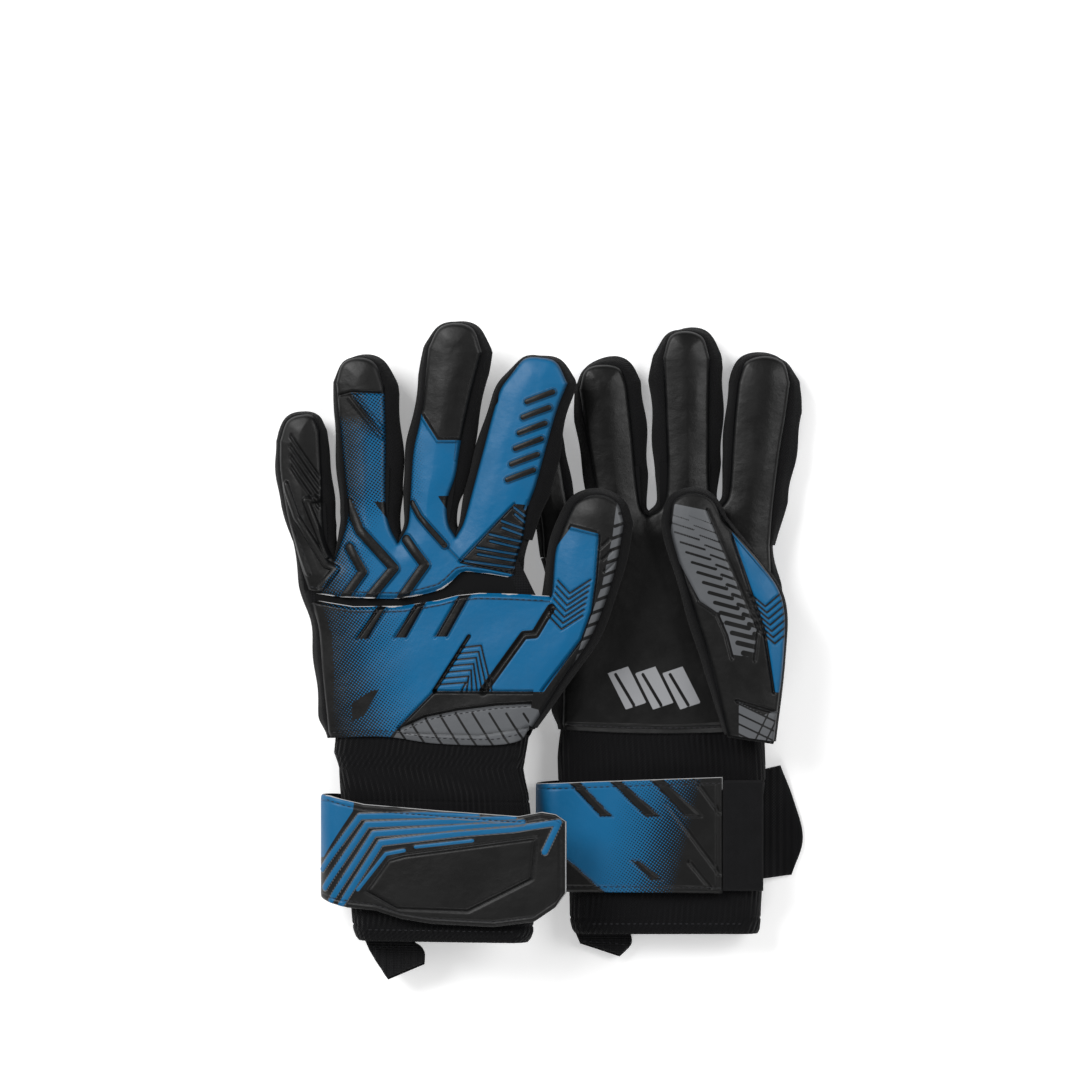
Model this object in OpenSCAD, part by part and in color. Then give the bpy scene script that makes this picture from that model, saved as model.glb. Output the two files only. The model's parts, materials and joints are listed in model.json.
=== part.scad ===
// A pair of goalkeeper gloves, lying flat: the left glove with its back up, rolled on to the edge of
// the right glove, which lies palm up. X runs across the fingers, Y towards the fingertips, Z up.

/* [Size] */
// Width of a ring finger across its gussets
finger_w = 32; // [27:0.5:39]
// Length of a glove from the middle fingertip to the cuff hem
glove_len = 270; // [225:5:325]
// Thickness of a glove as it lies empty
glove_t = 19.5; // [16:0.1:24]
// How far the right little finger is pressed down where the left glove lies on it
little_press = 5; // [4.2:0.1:6]
// How much flatter the right thumb is where it folds over the palm
thumb_press = 2.5; // [2:0.1:3]

/* [Layers] */
// Palm latex on its foam
latex_t = 3.2; // [2.6:0.1:4]
// Back panel latex on its foam
back_t = 3.5; // [2.8:0.1:4.3]
// Lining fabric
lining_t = 0.8; // [0.5:0.1:1]
// Width of a puffy side gusset, seen from above
gusset_w = 4; // [3:0.1:5]

/* [Wrist] */
// Wall of the knitted wrist band and cuff
knit_t = 2.5; // [2:0.1:3]
// Thickness of the strap band
strap_t = 2.5; // [2:0.1:3]
// Width of the strap band
strap_w = 45; // [37:0.5:54]
// Thickness of the loop pad and of the hook patch
pad_t = 1; // [0.8:0.1:1.2]
// Thickness of the pull tab webbing
tab_t = 2.4; // [2:0.1:2.9]

/* [Clearances] */
// Gap across a joint line
joint_gap = 0.6; // [0.4:0.1:0.8]
// Gap between layers that rest on each other
lay_gap = 0.5; // [0.4:0.1:0.8]

/* [Hidden] */
LEFT = 0;
RIGHT = 1;
SIDES = ["left", "right"];
DIGITS = ["little", "ring", "middle", "index", "thumb"];
THUMB = 4;
FINGERS = [0:3];
BODY_PARTS = [
    "palm", "palm_lining", "back_upper", "back_punch", "back_lining", "side_gusset", "heel_patch",
    "thumb_root", "wrist_band", "cuff", "loop_pad", "strap_anchor", "strap_band", "hook_patch", "pull_tab"
];
DIGIT_PARTS = ["face", "back", "gusset"];

BLUE = [0.08, 0.43, 0.66];
BLACK = [0.12, 0.12, 0.13];
KNIT = [0.06, 0.06, 0.07];
GREY = [0.42, 0.43, 0.44];

// The plan is drawn at a 32 mm finger and a 270 mm glove, and stretches with both
base_finger_w = 32;
base_glove_len = 270;
sx = finger_w / base_finger_w;
sy = glove_len / base_glove_len;

// The left glove rests on the right one along the line where its thumb begins
rest_x = 117 * sx;
left_x = -115 * sx;
roll = asin((glove_t + lay_gap) / rest_x);

// A digit is [root, tip, half width at root, half width at tip, distance of its joint from the root]
digit_table = [
    [
        [[19, 38], [13.5, 104.3], 9.8, 12, 28],
        [[41.5, 42], [41.5, 129.4], 12.8, 16.2, 40],
        [[67, 44], [79.4, 144.3], 12.6, 16.2, 44],
        [[93, 42], [118.6, 128.3], 12.8, 16.3, 40],
        [[121.5, -24], [142.7, 70.5], 15, 15.8, 37]
    ],
    [
        [[12.7, 36], [-2.6, 106], 10.5, 11.8, 13],
        [[37, 40], [30.3, 127.6], 12.6, 16, 42],
        [[63.5, 44], [64.9, 142.6], 14.4, 16.3, 40],
        [[89.5, 44], [101.5, 131.6], 12.8, 17, 40],
        [[91, 0], [68, 71.3], 19.5, 14, 16]
    ]
];

// Outlines of the hand between the finger roots and the wrist
hand_outline = [
    [
        [23, -38], [19, 0], [15, 25], [9.5, 40], [24, 46], [55, 50], [80, 50], [104, 46], [111, 30],
        [112.5, 12], [112, -32], [110, -38]
    ],
    [
        [8, -34], [10, 0], [9, 20], [3, 38], [24, 47], [50, 52], [78, 52], [101, 46], [102, 10], [100, -34]
    ]
];
knuckle_seam = [25, 27];
heel_outline = [
    [[56, -34], [118, -21], [118, -34]],
    [[60, -29], [96, -14], [97, -29]]
];

// Where each thumb root meets the hand, and the pass for the thumb
thumb_root_outline = [
    [[112.5, -31], [132, -2], [145, 7.6], [113.9, 15.8]],
    [[82.3, -33], [100, -33], [104.6, 20.2], [68.1, 8.8]]
];
thumb_pass = [[[104, -18], [121, -18], [121, 9], [104, 9]], [[79, -24], [95, -24], [95, 8], [79, 8]]];

// Where the hand's lining opens into the wrist, and the wrist tubes as [x from, x to, y from, y to]
mouth_y = [-44, -28];
band_box = [[25, 109, -70, -38], [9, 99, -62, -34]];
cuff_box = [[33, 113, -126, -70], [14, 98, -124, -62]];
pad_box = [[84, 111, -108, -76], [72, 96, -102, -68]];
// Strap as [fold x, free end x, fixed run's end x, lower y at the free end]
strap_span = [[20.5, 129, 110, -112], [-2, 98.6, 96, -105]];
// How far each strap's lower edge rises from its free end to its fold
strap_skew = [7, -1];
hook_from = [106, 80];
tail_outline = [[94, -54], [107, -51], [117, -83], [112, -98], [94, -100]];
tab_outline = [
    [[38, -126.6], [48, -143.9], [64.2, -136], [58, -126.6]],
    [[15.5, -124.6], [17.2, -128], [36, -134.5], [41, -129], [40.6, -124.6]]
];

pressed_t = glove_t - little_press;
folded_t = glove_t - thumb_press;

// How far pieces and digit roots reach into each other, how far cuts overshoot, and a length past any edge
overlap = 12;
root_reach = 10;
cut = 1;
far = 2 * glove_len;
tip_steps = 10;
curl_steps = 6;

function across(g) = g == LEFT ? sx / cos(roll) : sx;
function plan(g, p) = [p[0] * across(g), p[1] * sy];
function outline(g, pts) = [for (p = pts) plan(g, p)];
function root_of(g, i) = plan(g, digit_table[g][i][0]);
function tip_of(g, i) = plan(g, digit_table[g][i][1]);
function lean(g, i) = let (d = tip_of(g, i) - root_of(g, i)) atan2(-d[0], d[1]);
function length_of(g, i) = norm(tip_of(g, i) - root_of(g, i));
function joint_of(g, i) = digit_table[g][i][4] * sy;
function drawn_lean(g, i) = let (d = digit_table[g][i][1] - digit_table[g][i][0]) atan2(-d[0], d[1]);
// A digit keeps its share of the plan's width when the plan stretches, so neighbours stay apart
function half_w(g, i, v) =
    let (d = digit_table[g][i], part = min(1, max(0, v / length_of(g, i))))
    sx * cos(lean(g, i)) / cos(drawn_lean(g, i)) * (d[2] + (d[3] - d[2]) * part);

// Lowest and highest layer of a digit, measured from the palm side to the back
function digit_low(g, i) =
    g == RIGHT && i == 0 ? glove_t - pressed_t : g == RIGHT && i == THUMB ? -lay_gap - folded_t : 0;
function digit_high(g, i) = g == RIGHT && i == THUMB ? -lay_gap : glove_t;

// Strap heights, measured from the surface that the gloves lie on
band_low = glove_t + 2 * pad_t + lay_gap;
band_high = band_low + strap_t;
fold_r = band_high / 2;

module at_root(g, i) {
    translate(root_of(g, i)) rotate(lean(g, i)) children();
}

// Straight part of a digit from its root to its joint
module stub_2d(g, i, inset, from, to) {
    a = half_w(g, i, from) - inset;
    b = half_w(g, i, to) - inset;
    at_root(g, i) polygon([[-a, from], [a, from], [b, to], [-b, to]]);
}

// Free part of a digit from its joint to its round tip
module tip_2d(g, i, inset = 0, from = 0) {
    tip_w = half_w(g, i, length_of(g, i)) - inset;
    a = half_w(g, i, from) - inset;
    centre = length_of(g, i) - inset - tip_w;
    arc = [for (k = [0:tip_steps]) let (t = 180 * k / tip_steps) [tip_w * cos(t), centre + tip_w * sin(t)]];
    at_root(g, i) polygon(concat([[-a, from], [a, from]], arc));
}

module hand_2d(g) {
    polygon(outline(g, hand_outline[g]));
    for (i = FINGERS) stub_2d(g, i, 0, -root_reach, joint_of(g, i) - joint_gap / 2);
}

module hollow_2d(g) {
    offset(delta = -gusset_w) polygon(outline(g, hand_outline[g]));
    for (i = FINGERS) stub_2d(g, i, gusset_w, -root_reach, joint_of(g, i) + joint_gap);
    wrist = band_box[g];
    x0 = wrist[0] + gusset_w;
    x1 = wrist[1] - gusset_w;
    mouth = [[x0, mouth_y[0]], [x1, mouth_y[0]], [x1, mouth_y[1]], [x0, mouth_y[1]]];
    polygon(outline(g, mouth));
    if (g == LEFT) polygon(outline(g, thumb_pass[g]));
}

module half_plane(upper) {
    translate([-far, upper ? 0 : -far]) square([2 * far, far]);
}

module slab(low, high) {
    translate([0, 0, low]) linear_extrude(high - low) children();
}

// Puts a glove drawn with its back up where it lies
module lay(g) {
    if (g == LEFT) translate([left_x, 0, 0]) rotate([0, -roll, 0]) children();
    else children();
}

// Puts a glove drawn palm down where it lies, so the right one turns over
module palm_down(g) {
    lay(g) {
        if (g == LEFT) children();
        else translate([0, 0, glove_t]) mirror([0, 0, 1]) children();
    }
}

module palm(g) {
    color(BLACK) palm_down(g) slab(0, latex_t) difference() {
        hand_2d(g);
        if (g == RIGHT) polygon(outline(g, thumb_pass[g]));
        pressed_notch(g);
    }
}

// The right little finger is pressed flat past its joint, so nothing of the hand covers it
module pressed_notch(g) {
    if (g == RIGHT) stub_2d(g, 0, -gusset_w, joint_of(g, 0) - joint_gap / 2, joint_of(g, 0) + overlap / 2);
}

module palm_lining(g) {
    color(KNIT) palm_down(g) slab(latex_t, latex_t + lining_t) difference() {
        intersection() {
            hand_2d(g);
            hollow_2d(g);
        }
        polygon(outline(g, thumb_pass[g]));
    }
}

module back_lining(g) {
    color(KNIT) palm_down(g) slab(glove_t - back_t - lining_t, glove_t - back_t) difference() {
        intersection() {
            hand_2d(g);
            hollow_2d(g);
        }
        if (g == LEFT) polygon(outline(g, thumb_pass[g]));
    }
}

module back_upper(g) {
    color(BLUE) palm_down(g) slab(glove_t - back_t, glove_t) intersection() {
        hand_2d(g);
        translate([0, knuckle_seam[g] * sy]) half_plane(true);
    }
}

module back_punch(g) {
    color(BLUE) palm_down(g) slab(glove_t - back_t, glove_t) difference() {
        intersection() {
            hand_2d(g);
            translate([0, knuckle_seam[g] * sy]) half_plane(false);
        }
        polygon(outline(g, heel_outline[g]));
    }
}

module heel_patch(g) {
    color(GREY) palm_down(g) slab(glove_t - back_t, glove_t) intersection() {
        hand_2d(g);
        polygon(outline(g, heel_outline[g]));
    }
}

module side_gusset(g) {
    color(KNIT) palm_down(g) slab(latex_t, glove_t - back_t) difference() {
        hand_2d(g);
        hollow_2d(g);
    }
}

// Short tube that carries the thumb: beside the hand on the left glove, over the palm on the right
module thumb_root(g) {
    low = digit_low(g, THUMB);
    high = g == LEFT ? glove_t : 0;
    color(BLUE) palm_down(g) difference() {
        slab(low, high) polygon(outline(g, thumb_root_outline[g]));
        slab(low + latex_t, g == LEFT ? high - back_t : high + cut) {
            offset(delta = -gusset_w) polygon(outline(g, thumb_root_outline[g]));
            stub_2d(g, THUMB, gusset_w, joint_of(g, THUMB) - overlap, joint_of(g, THUMB) + joint_gap);
            if (g == LEFT) polygon(outline(g, thumb_pass[g]));
        }
        slab(low - cut, glove_t + cut) tip_2d(g, THUMB, -gusset_w, joint_of(g, THUMB) - joint_gap / 2);
    }
}

// Flat tube with round edges, lying along Y
module flat_tube(x0, x1, y0, y1, z0, z1, wall) {
    translate([0, y1, 0]) rotate([90, 0, 0]) linear_extrude(y1 - y0) difference() {
        flat_round_2d(x0, x1, z0, z1);
        flat_round_2d(x0 + wall, x1 - wall, z0 + wall, z1 - wall);
    }
}

module flat_round_2d(x0, x1, z0, z1) {
    r = (z1 - z0) / 2;
    mid = (z0 + z1) / 2;
    right = [for (k = [0:curl_steps]) let (t = -90 + 180 * k / curl_steps) [x1 - r + r * cos(t), mid + r * sin(t)]];
    left = [for (k = [0:curl_steps]) let (t = 90 + 180 * k / curl_steps) [x0 + r + r * cos(t), mid + r * sin(t)]];
    polygon(concat(right, left));
}

module wrist_tube(g, box) {
    lay(g) flat_tube(
        box[0] * across(g), box[1] * across(g), box[2] * sy, box[3] * sy, strap_t + lay_gap, glove_t, knit_t
    );
}

module wrist_band(g) {
    color(KNIT) wrist_tube(g, band_box[g]);
}

module cuff(g) {
    color(KNIT) wrist_tube(g, cuff_box[g]);
}

module loop_pad(g) {
    box = pad_box[g];
    corners = [[box[0], box[2]], [box[1], box[2]], [box[1], box[3]], [box[0], box[3]]];
    color(BLACK) lay(g) slab(glove_t, glove_t + pad_t) polygon(outline(g, corners));
}

// Plan of the strap between two stations across the glove
module strap_plan(g, x0, x1) {
    span = strap_span[g];
    low = span[3] * sy;
    rise = strap_skew[g] * sy;
    function low_at(x) = low + rise * (span[1] * across(g) - x) / ((span[1] - span[0]) * across(g));
    polygon([[x0, low_at(x0)], [x1, low_at(x1)], [x1, low_at(x1) + strap_w], [x0, low_at(x0) + strap_w]]);
}

// Side view of a run of the strap and its quarter of the fold, upper or lower
module strap_side(g, x1, upper) {
    span = strap_span[g];
    xc = span[0] * across(g) + fold_r;
    start = joint_gap / 2 / fold_r * 180 / PI;
    s = upper ? 1 : -1;
    outer = [for (k = [0:curl_steps]) let (t = start + (90 - start) * k / curl_steps)
        [xc - fold_r * cos(t), fold_r + s * fold_r * sin(t)]];
    inner_r = fold_r - strap_t;
    inner = [for (k = [curl_steps:-1:0]) let (t = start + (90 - start) * k / curl_steps)
        [xc - inner_r * cos(t), fold_r + s * inner_r * sin(t)]];
    end = [[x1, fold_r + s * fold_r], [x1, fold_r + s * inner_r]];
    translate([0, far, 0]) rotate([90, 0, 0]) linear_extrude(2 * far) polygon(concat(outer, end, inner));
}

module strap_run(g, x1, upper) {
    intersection() {
        strap_side(g, x1, upper);
        slab(-cut, band_high + cut) strap_plan(g, strap_span[g][0] * across(g) - cut, x1);
    }
}

module strap_band(g) {
    end = (g == LEFT ? strap_span[g][1] : hook_from[g]) * across(g);
    color(BLUE) lay(g) strap_run(g, end, true);
}

module hook_patch(g) {
    from = hook_from[g] * across(g);
    to = strap_span[g][1] * across(g);
    high = g == LEFT ? band_low : band_high;
    color(BLACK) lay(g) slab(band_low - pad_t, high) strap_plan(g, from, to);
}

module strap_anchor(g) {
    color(KNIT) lay(g) {
        strap_run(g, strap_span[g][2] * across(g), false);
        if (g == RIGHT) slab(0, strap_t) polygon(outline(g, tail_outline));
    }
}

module pull_tab(g) {
    low = strap_t + lay_gap;
    color(BLACK) lay(g) slab(low, low + tab_t) polygon(outline(g, tab_outline[g]));
}

module digit_face(g, i) {
    low = digit_low(g, i);
    tint = i == THUMB ? GREY : BLACK;
    color(tint) palm_down(g) slab(low, low + latex_t) tip_2d(g, i, 0, joint_of(g, i) + joint_gap / 2);
}

module digit_back(g, i) {
    high = digit_high(g, i);
    color(BLUE) palm_down(g) slab(high - back_t, high) tip_2d(g, i, 0, joint_of(g, i) + joint_gap / 2);
}

module digit_gusset(g, i) {
    start = joint_of(g, i) + joint_gap / 2;
    color(KNIT) palm_down(g) slab(digit_low(g, i) + latex_t, digit_high(g, i) - back_t) difference() {
        tip_2d(g, i, 0, start);
        tip_2d(g, i, gusset_w, start - cut);
    }
}

for (g = [LEFT, RIGHT]) {
    palm(g);
    palm_lining(g);
    back_upper(g);
    back_punch(g);
    back_lining(g);
    side_gusset(g);
    heel_patch(g);
    thumb_root(g);
    wrist_band(g);
    cuff(g);
    loop_pad(g);
    strap_anchor(g);
    strap_band(g);
    hook_patch(g);
    pull_tab(g);
    for (i = [0:THUMB]) {
        digit_face(g, i);
        digit_back(g, i);
        digit_gusset(g, i);
    }
}
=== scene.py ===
"""A pair of goalkeeper gloves lying flat: sewn latex panels, puffy gussets, knitted cuffs and straps."""
import bpy
import json
import math
import numpy as np
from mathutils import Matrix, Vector
from mathutils.bvhtree import BVHTree


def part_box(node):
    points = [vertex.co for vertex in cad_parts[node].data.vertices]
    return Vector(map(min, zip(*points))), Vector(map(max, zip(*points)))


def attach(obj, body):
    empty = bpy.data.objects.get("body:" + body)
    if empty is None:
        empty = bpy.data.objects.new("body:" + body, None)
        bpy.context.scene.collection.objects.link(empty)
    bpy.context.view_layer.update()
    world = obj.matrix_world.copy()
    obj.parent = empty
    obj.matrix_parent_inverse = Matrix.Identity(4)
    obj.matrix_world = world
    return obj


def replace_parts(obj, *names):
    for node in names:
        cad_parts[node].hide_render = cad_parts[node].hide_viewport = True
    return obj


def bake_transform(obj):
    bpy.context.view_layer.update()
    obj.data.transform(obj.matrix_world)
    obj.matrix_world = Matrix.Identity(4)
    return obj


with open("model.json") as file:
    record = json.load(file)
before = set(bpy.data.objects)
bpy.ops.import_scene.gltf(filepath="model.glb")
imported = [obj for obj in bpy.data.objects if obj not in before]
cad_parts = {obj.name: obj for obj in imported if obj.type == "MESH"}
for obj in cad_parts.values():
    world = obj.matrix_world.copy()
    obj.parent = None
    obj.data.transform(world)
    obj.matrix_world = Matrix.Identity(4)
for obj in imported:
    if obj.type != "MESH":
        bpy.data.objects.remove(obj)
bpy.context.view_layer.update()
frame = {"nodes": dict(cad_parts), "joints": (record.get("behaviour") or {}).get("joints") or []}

MM = 0.001
LEFT, RIGHT = 0, 1
SIDES = ("left", "right")
DIGITS = ("little", "ring", "middle", "index", "thumb")
JOINTS = {joint["name"]: joint for joint in frame["joints"]}

# Thickness of a flat glove and its middle height, in millimetres
GLOVE_T = round(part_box("right_palm")[1][2] / MM, 2)
# The left glove's plan starts at this x; the glove is rolled a little and rises towards the right one
LEFT_X = -115.0
RING_AXIS = JOINTS["left_ring_curl"]["axis"]
ROLL = math.asin(abs(RING_AXIS[2]) / math.hypot(RING_AXIS[0], RING_AXIS[2]))


# ---------------------------------------------------------------- placing
def place(side, plan, height):
    """Turns plan points and heights of one glove, in millimetres, into points of the frame, in metres."""
    plan = np.asarray(plan, float)
    height = np.broadcast_to(np.asarray(height, float), plan.shape[:-1])
    x, y = plan[..., 0], plan[..., 1]
    if side == LEFT:
        across = LEFT_X + x - height * math.sin(ROLL)
        world = np.stack([across, y, x * math.tan(ROLL) + height * math.cos(ROLL)], -1)
    else:
        world = np.stack([x, y, height], -1)
    return world * MM


# ---------------------------------------------------------------- curves
CURVE_STEPS = 16
LONGEST_TANGENT = 1.4


def smooth(points, count):
    """Curve through the points, sampled evenly along its length; its tangents are held short at corners."""
    pts = np.asarray(points, float)
    if len(pts) == 2:
        t = np.linspace(0, 1, count)[:, None]
        return pts[0] * (1 - t) + pts[1] * t
    first, last = 2 * pts[0] - pts[1], 2 * pts[-1] - pts[-2]
    p = np.vstack([first, pts, last])
    out = []
    for k in range(1, len(p) - 2):
        t = np.linspace(0, 1, CURVE_STEPS, endpoint=False)[:, None]
        a, b, c, d = p[k - 1], p[k], p[k + 1], p[k + 2]
        m1, m2 = (c - a) / 2, (d - b) / 2
        limit = np.linalg.norm(c - b)
        m1 = m1 * min(1, LONGEST_TANGENT * limit / (np.linalg.norm(m1) + 1e-9))
        m2 = m2 * min(1, LONGEST_TANGENT * limit / (np.linalg.norm(m2) + 1e-9))
        out.append((2 * t**3 - 3 * t**2 + 1) * b + (t**3 - 2 * t**2 + t) * m1
                   + (-2 * t**3 + 3 * t**2) * c + (t**3 - t**2) * m2)
    out = np.vstack(out + [pts[-1:]])
    return resample(out, count)


def resample(line, count):
    """The same line with its points spread evenly along it."""
    line = np.asarray(line, float)
    s = np.concatenate([[0], np.cumsum(np.linalg.norm(np.diff(line, axis=0), axis=1))])
    t = np.linspace(0, s[-1], count)
    return np.stack([np.interp(t, s, line[:, k]) for k in range(line.shape[1])], -1)


FAR = 1e9


def line_distance(points, line):
    """Distance from each point to a polyline."""
    flat = points.reshape(-1, 2)
    best = np.full(len(flat), FAR)
    line = np.asarray(line, float)
    for a, b in zip(line[:-1], line[1:]):
        ab = b - a
        t = np.clip(((flat - a) @ ab) / max(ab @ ab, 1e-12), 0, 1)
        best = np.minimum(best, np.linalg.norm(flat - a - t[:, None] * ab, axis=1))
    return best.reshape(points.shape[:-1])


def inside(points, poly):
    """Signed distance to a closed outline, positive inside."""
    poly = np.asarray(poly, float)
    flat = points.reshape(-1, 2)
    x, y = flat[:, 0], flat[:, 1]
    hit = np.zeros(len(flat), bool)
    for (x1, y1), (x2, y2) in zip(poly, np.roll(poly, -1, axis=0)):
        if y1 == y2:
            continue
        cross = (y1 > y) != (y2 > y)
        hit ^= cross & (x < (x2 - x1) * (y - y1) / (y2 - y1) + x1)
    far = line_distance(flat, np.vstack([poly, poly[:1]]))
    return np.where(hit, far, -far).reshape(points.shape[:-1])


def coons(bottom, top, left, right, rows, cols):
    """Grid of plan points filling four boundary curves; left and right run from bottom to top."""
    b, t = smooth(bottom, cols), smooth(top, cols)
    l, r = smooth(left, rows), smooth(right, rows)
    u = np.linspace(0, 1, cols)[None, :, None]
    v = np.linspace(0, 1, rows)[:, None, None]
    corner = (1 - u) * (1 - v) * b[0] + u * (1 - v) * b[-1] + (1 - u) * v * t[0] + u * v * t[-1]
    return (1 - v) * b[None] + v * t[None] + (1 - u) * l[:, None] + u * r[:, None] - corner


def ease(t):
    """Soft step from 0 to 1."""
    t = np.clip(t, 0, 1)
    return t * t * (3 - 2 * t)


def dome(d, reach):
    """Rises steeply from an edge and levels off at reach."""
    t = np.clip(d / reach, 0, 1)
    return np.sqrt(np.clip(1 - (1 - t) ** 2, 0, 1))


def groove(d, half, depth):
    """Rounded channel of a given half width along a line."""
    return -depth * (1 - ease(np.abs(d) / half))


WAVES = 7


def hills(points, scale, seed):
    """Gentle unevenness of soft foam, the same at every run."""
    rng = np.random.default_rng(seed)
    out = np.zeros(points.shape[:-1])
    for _ in range(WAVES):
        angle, phase = rng.uniform(0, math.pi), rng.uniform(0, 2 * math.pi)
        k = 2 * math.pi / (scale * rng.uniform(0.7, 1.6))
        out += np.sin(k * (points[..., 0] * math.cos(angle) + points[..., 1] * math.sin(angle)) + phase)
    return out / WAVES


# ---------------------------------------------------------------- meshes
def add_attributes(mesh, attributes):
    """Writes each array on the mesh's points, as vectors where it has two axes and as numbers otherwise."""
    for key, values in attributes.items():
        kind, field = ("FLOAT_VECTOR", "vector") if np.ndim(values) == 2 else ("FLOAT", "value")
        layer = mesh.attributes.new(key, kind, "POINT")
        layer.data.foreach_set(field, np.asarray(values, np.float32).ravel())


def make_mesh(name, verts, quads, attributes, normals, material):
    """Smooth mesh of quads, with its own normals where they are given."""
    mesh = bpy.data.meshes.new(name)
    quads = np.asarray(quads, np.int32)
    mesh.vertices.add(len(verts))
    mesh.vertices.foreach_set("co", np.asarray(verts, np.float32).ravel())
    mesh.loops.add(quads.size)
    mesh.loops.foreach_set("vertex_index", quads.ravel())
    mesh.polygons.add(len(quads))
    mesh.polygons.foreach_set("loop_start", np.arange(0, quads.size, 4, dtype=np.int32))
    mesh.polygons.foreach_set("use_smooth", np.full(len(quads), True))
    add_attributes(mesh, attributes)
    mesh.update(calc_edges=True)
    mesh.validate()
    if normals is not None:
        mesh.normals_split_custom_set_from_vertices(np.asarray(normals, np.float32).tolist())
    obj = bpy.data.objects.new(name, mesh)
    bpy.context.scene.collection.objects.link(obj)
    mesh.materials.append(material)
    return obj


def grid_faces(rows, cols, start=0, flip=False):
    """Quads of a grid of points numbered row by row."""
    i = np.arange((rows - 1) * cols).reshape(rows - 1, cols)[:, :-1].ravel() + start
    q = np.stack([i, i + 1, i + cols + 1, i + cols], -1)
    return q[:, ::-1] if flip else q


def rim_faces(rows, cols):
    """Quads that join the edge of a grid to the edge of a second grid numbered after it."""
    n = rows * cols
    index = np.arange(n).reshape(rows, cols)
    loop = np.concatenate([index[0, :-1], index[:-1, -1], index[-1, :0:-1], index[:0:-1, 0]])
    nxt = np.roll(loop, -1)
    return np.stack([loop, loop + n, nxt + n, nxt], -1)


def surface_normals(p):
    """Direction that each point of a grid faces."""
    du, dv = np.gradient(p, axis=1), np.gradient(p, axis=0)
    n = np.cross(du, dv)
    return n / (np.linalg.norm(n, axis=-1, keepdims=True) + 1e-12)


def plate(name, side, grid, top, thick, marks, material, up=True):
    """Closed panel: an upper skin at the heights in top, a lower skin below it and a rim between them."""
    rows, cols = grid.shape[:2]
    outer = place(side, grid, top)
    inner = place(side, grid, top - thick if up else top + thick)
    verts = np.vstack([outer.reshape(-1, 3), inner.reshape(-1, 3)])
    n = rows * cols
    faces = [grid_faces(rows, cols, 0, not up), grid_faces(rows, cols, n, up)]
    rim = rim_faces(rows, cols)
    faces.append(rim if up else rim[:, ::-1])
    normals = surface_normals(outer) * (1 if up else -1)
    flat = normals.reshape(-1, 3)
    plan = np.dstack([grid, np.zeros((rows, cols))]).reshape(-1, 3)
    attributes = {"plan": np.vstack([plan, plan])}
    for key, values in marks.items():
        attributes[key] = np.concatenate([values.ravel(), values.ravel()])
    return make_mesh(name, verts, np.vstack(faces), attributes, np.vstack([flat, -flat]), material)


# ---------------------------------------------------------------- materials
class Graph:
    """Short way to write a node tree; sockets are linked and constants are set on the inputs."""

    def __init__(self, tree):
        self.tree = tree

    def feed(self, sockets, inputs):
        """Links a socket, or sets a constant, on each of the named inputs."""
        for key, value in inputs.items():
            if isinstance(value, bpy.types.NodeSocket):
                self.tree.links.new(value, sockets[key])
            else:
                sockets[key].default_value = value

    def add(self, kind, inputs=None, **props):
        """A node with its settings and inputs."""
        node = self.tree.nodes.new(kind)
        for key, value in props.items():
            setattr(node, key, value)
        self.feed(node.inputs, inputs or {})
        return node

    def math(self, op, a, b=0.0, c=0.0):
        """One sum; only a multiply-add takes the third value."""
        inputs = {0: a, 1: b, 2: c} if op == "MULTIPLY_ADD" else {0: a, 1: b}
        return self.add("ShaderNodeMath", inputs, operation=op).outputs[0]

    def step(self, value, low, high, out_low=0.0, out_high=1.0):
        """Soft step of a value between low and high."""
        inputs = {"Value": value, "From Min": low, "From Max": high, "To Min": out_low, "To Max": out_high}
        return self.add("ShaderNodeMapRange", inputs, interpolation_type="SMOOTHSTEP").outputs["Result"]

    def mix(self, fac, a, b):
        """Blend of two colours; a colour mix has them on its inputs 6 and 7 and gives output 2."""
        node = self.add("ShaderNodeMix", {"Factor": fac}, data_type="RGBA")
        self.feed(node.inputs, {6: a, 7: b})
        return node.outputs[2]

    def attribute(self, name, output="Fac"):
        """A value that the piece's mesh carries."""
        return self.add("ShaderNodeAttribute", attribute_name=name).outputs[output]

    def turn(self, vector, angle):
        """A pattern's coordinates turned in the plan."""
        inputs = {"Vector": vector, "Rotation": (0, 0, angle)}
        return self.add("ShaderNodeMapping", inputs).outputs[0]

    def split(self, vector):
        """The three parts of a vector."""
        return self.add("ShaderNodeSeparateXYZ", {0: vector}).outputs

    def noise(self, vector, scale, detail=2.0, rough=0.5):
        """Uneven grey, the same at every run."""
        inputs = {"Vector": vector, "Scale": scale, "Detail": detail, "Roughness": rough}
        return self.add("ShaderNodeTexNoise", inputs).outputs["Fac"]


def group(name, inputs, outputs):
    """An empty node group with named sockets."""
    tree = bpy.data.node_groups.new(name, "ShaderNodeTree")
    for label, kind in inputs:
        tree.interface.new_socket(label, in_out="INPUT", socket_type=kind)
    for label, kind in outputs:
        tree.interface.new_socket(label, in_out="OUTPUT", socket_type=kind)
    graph = Graph(tree)
    return graph, graph.add("NodeGroupInput").outputs, graph.add("NodeGroupOutput").inputs


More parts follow.
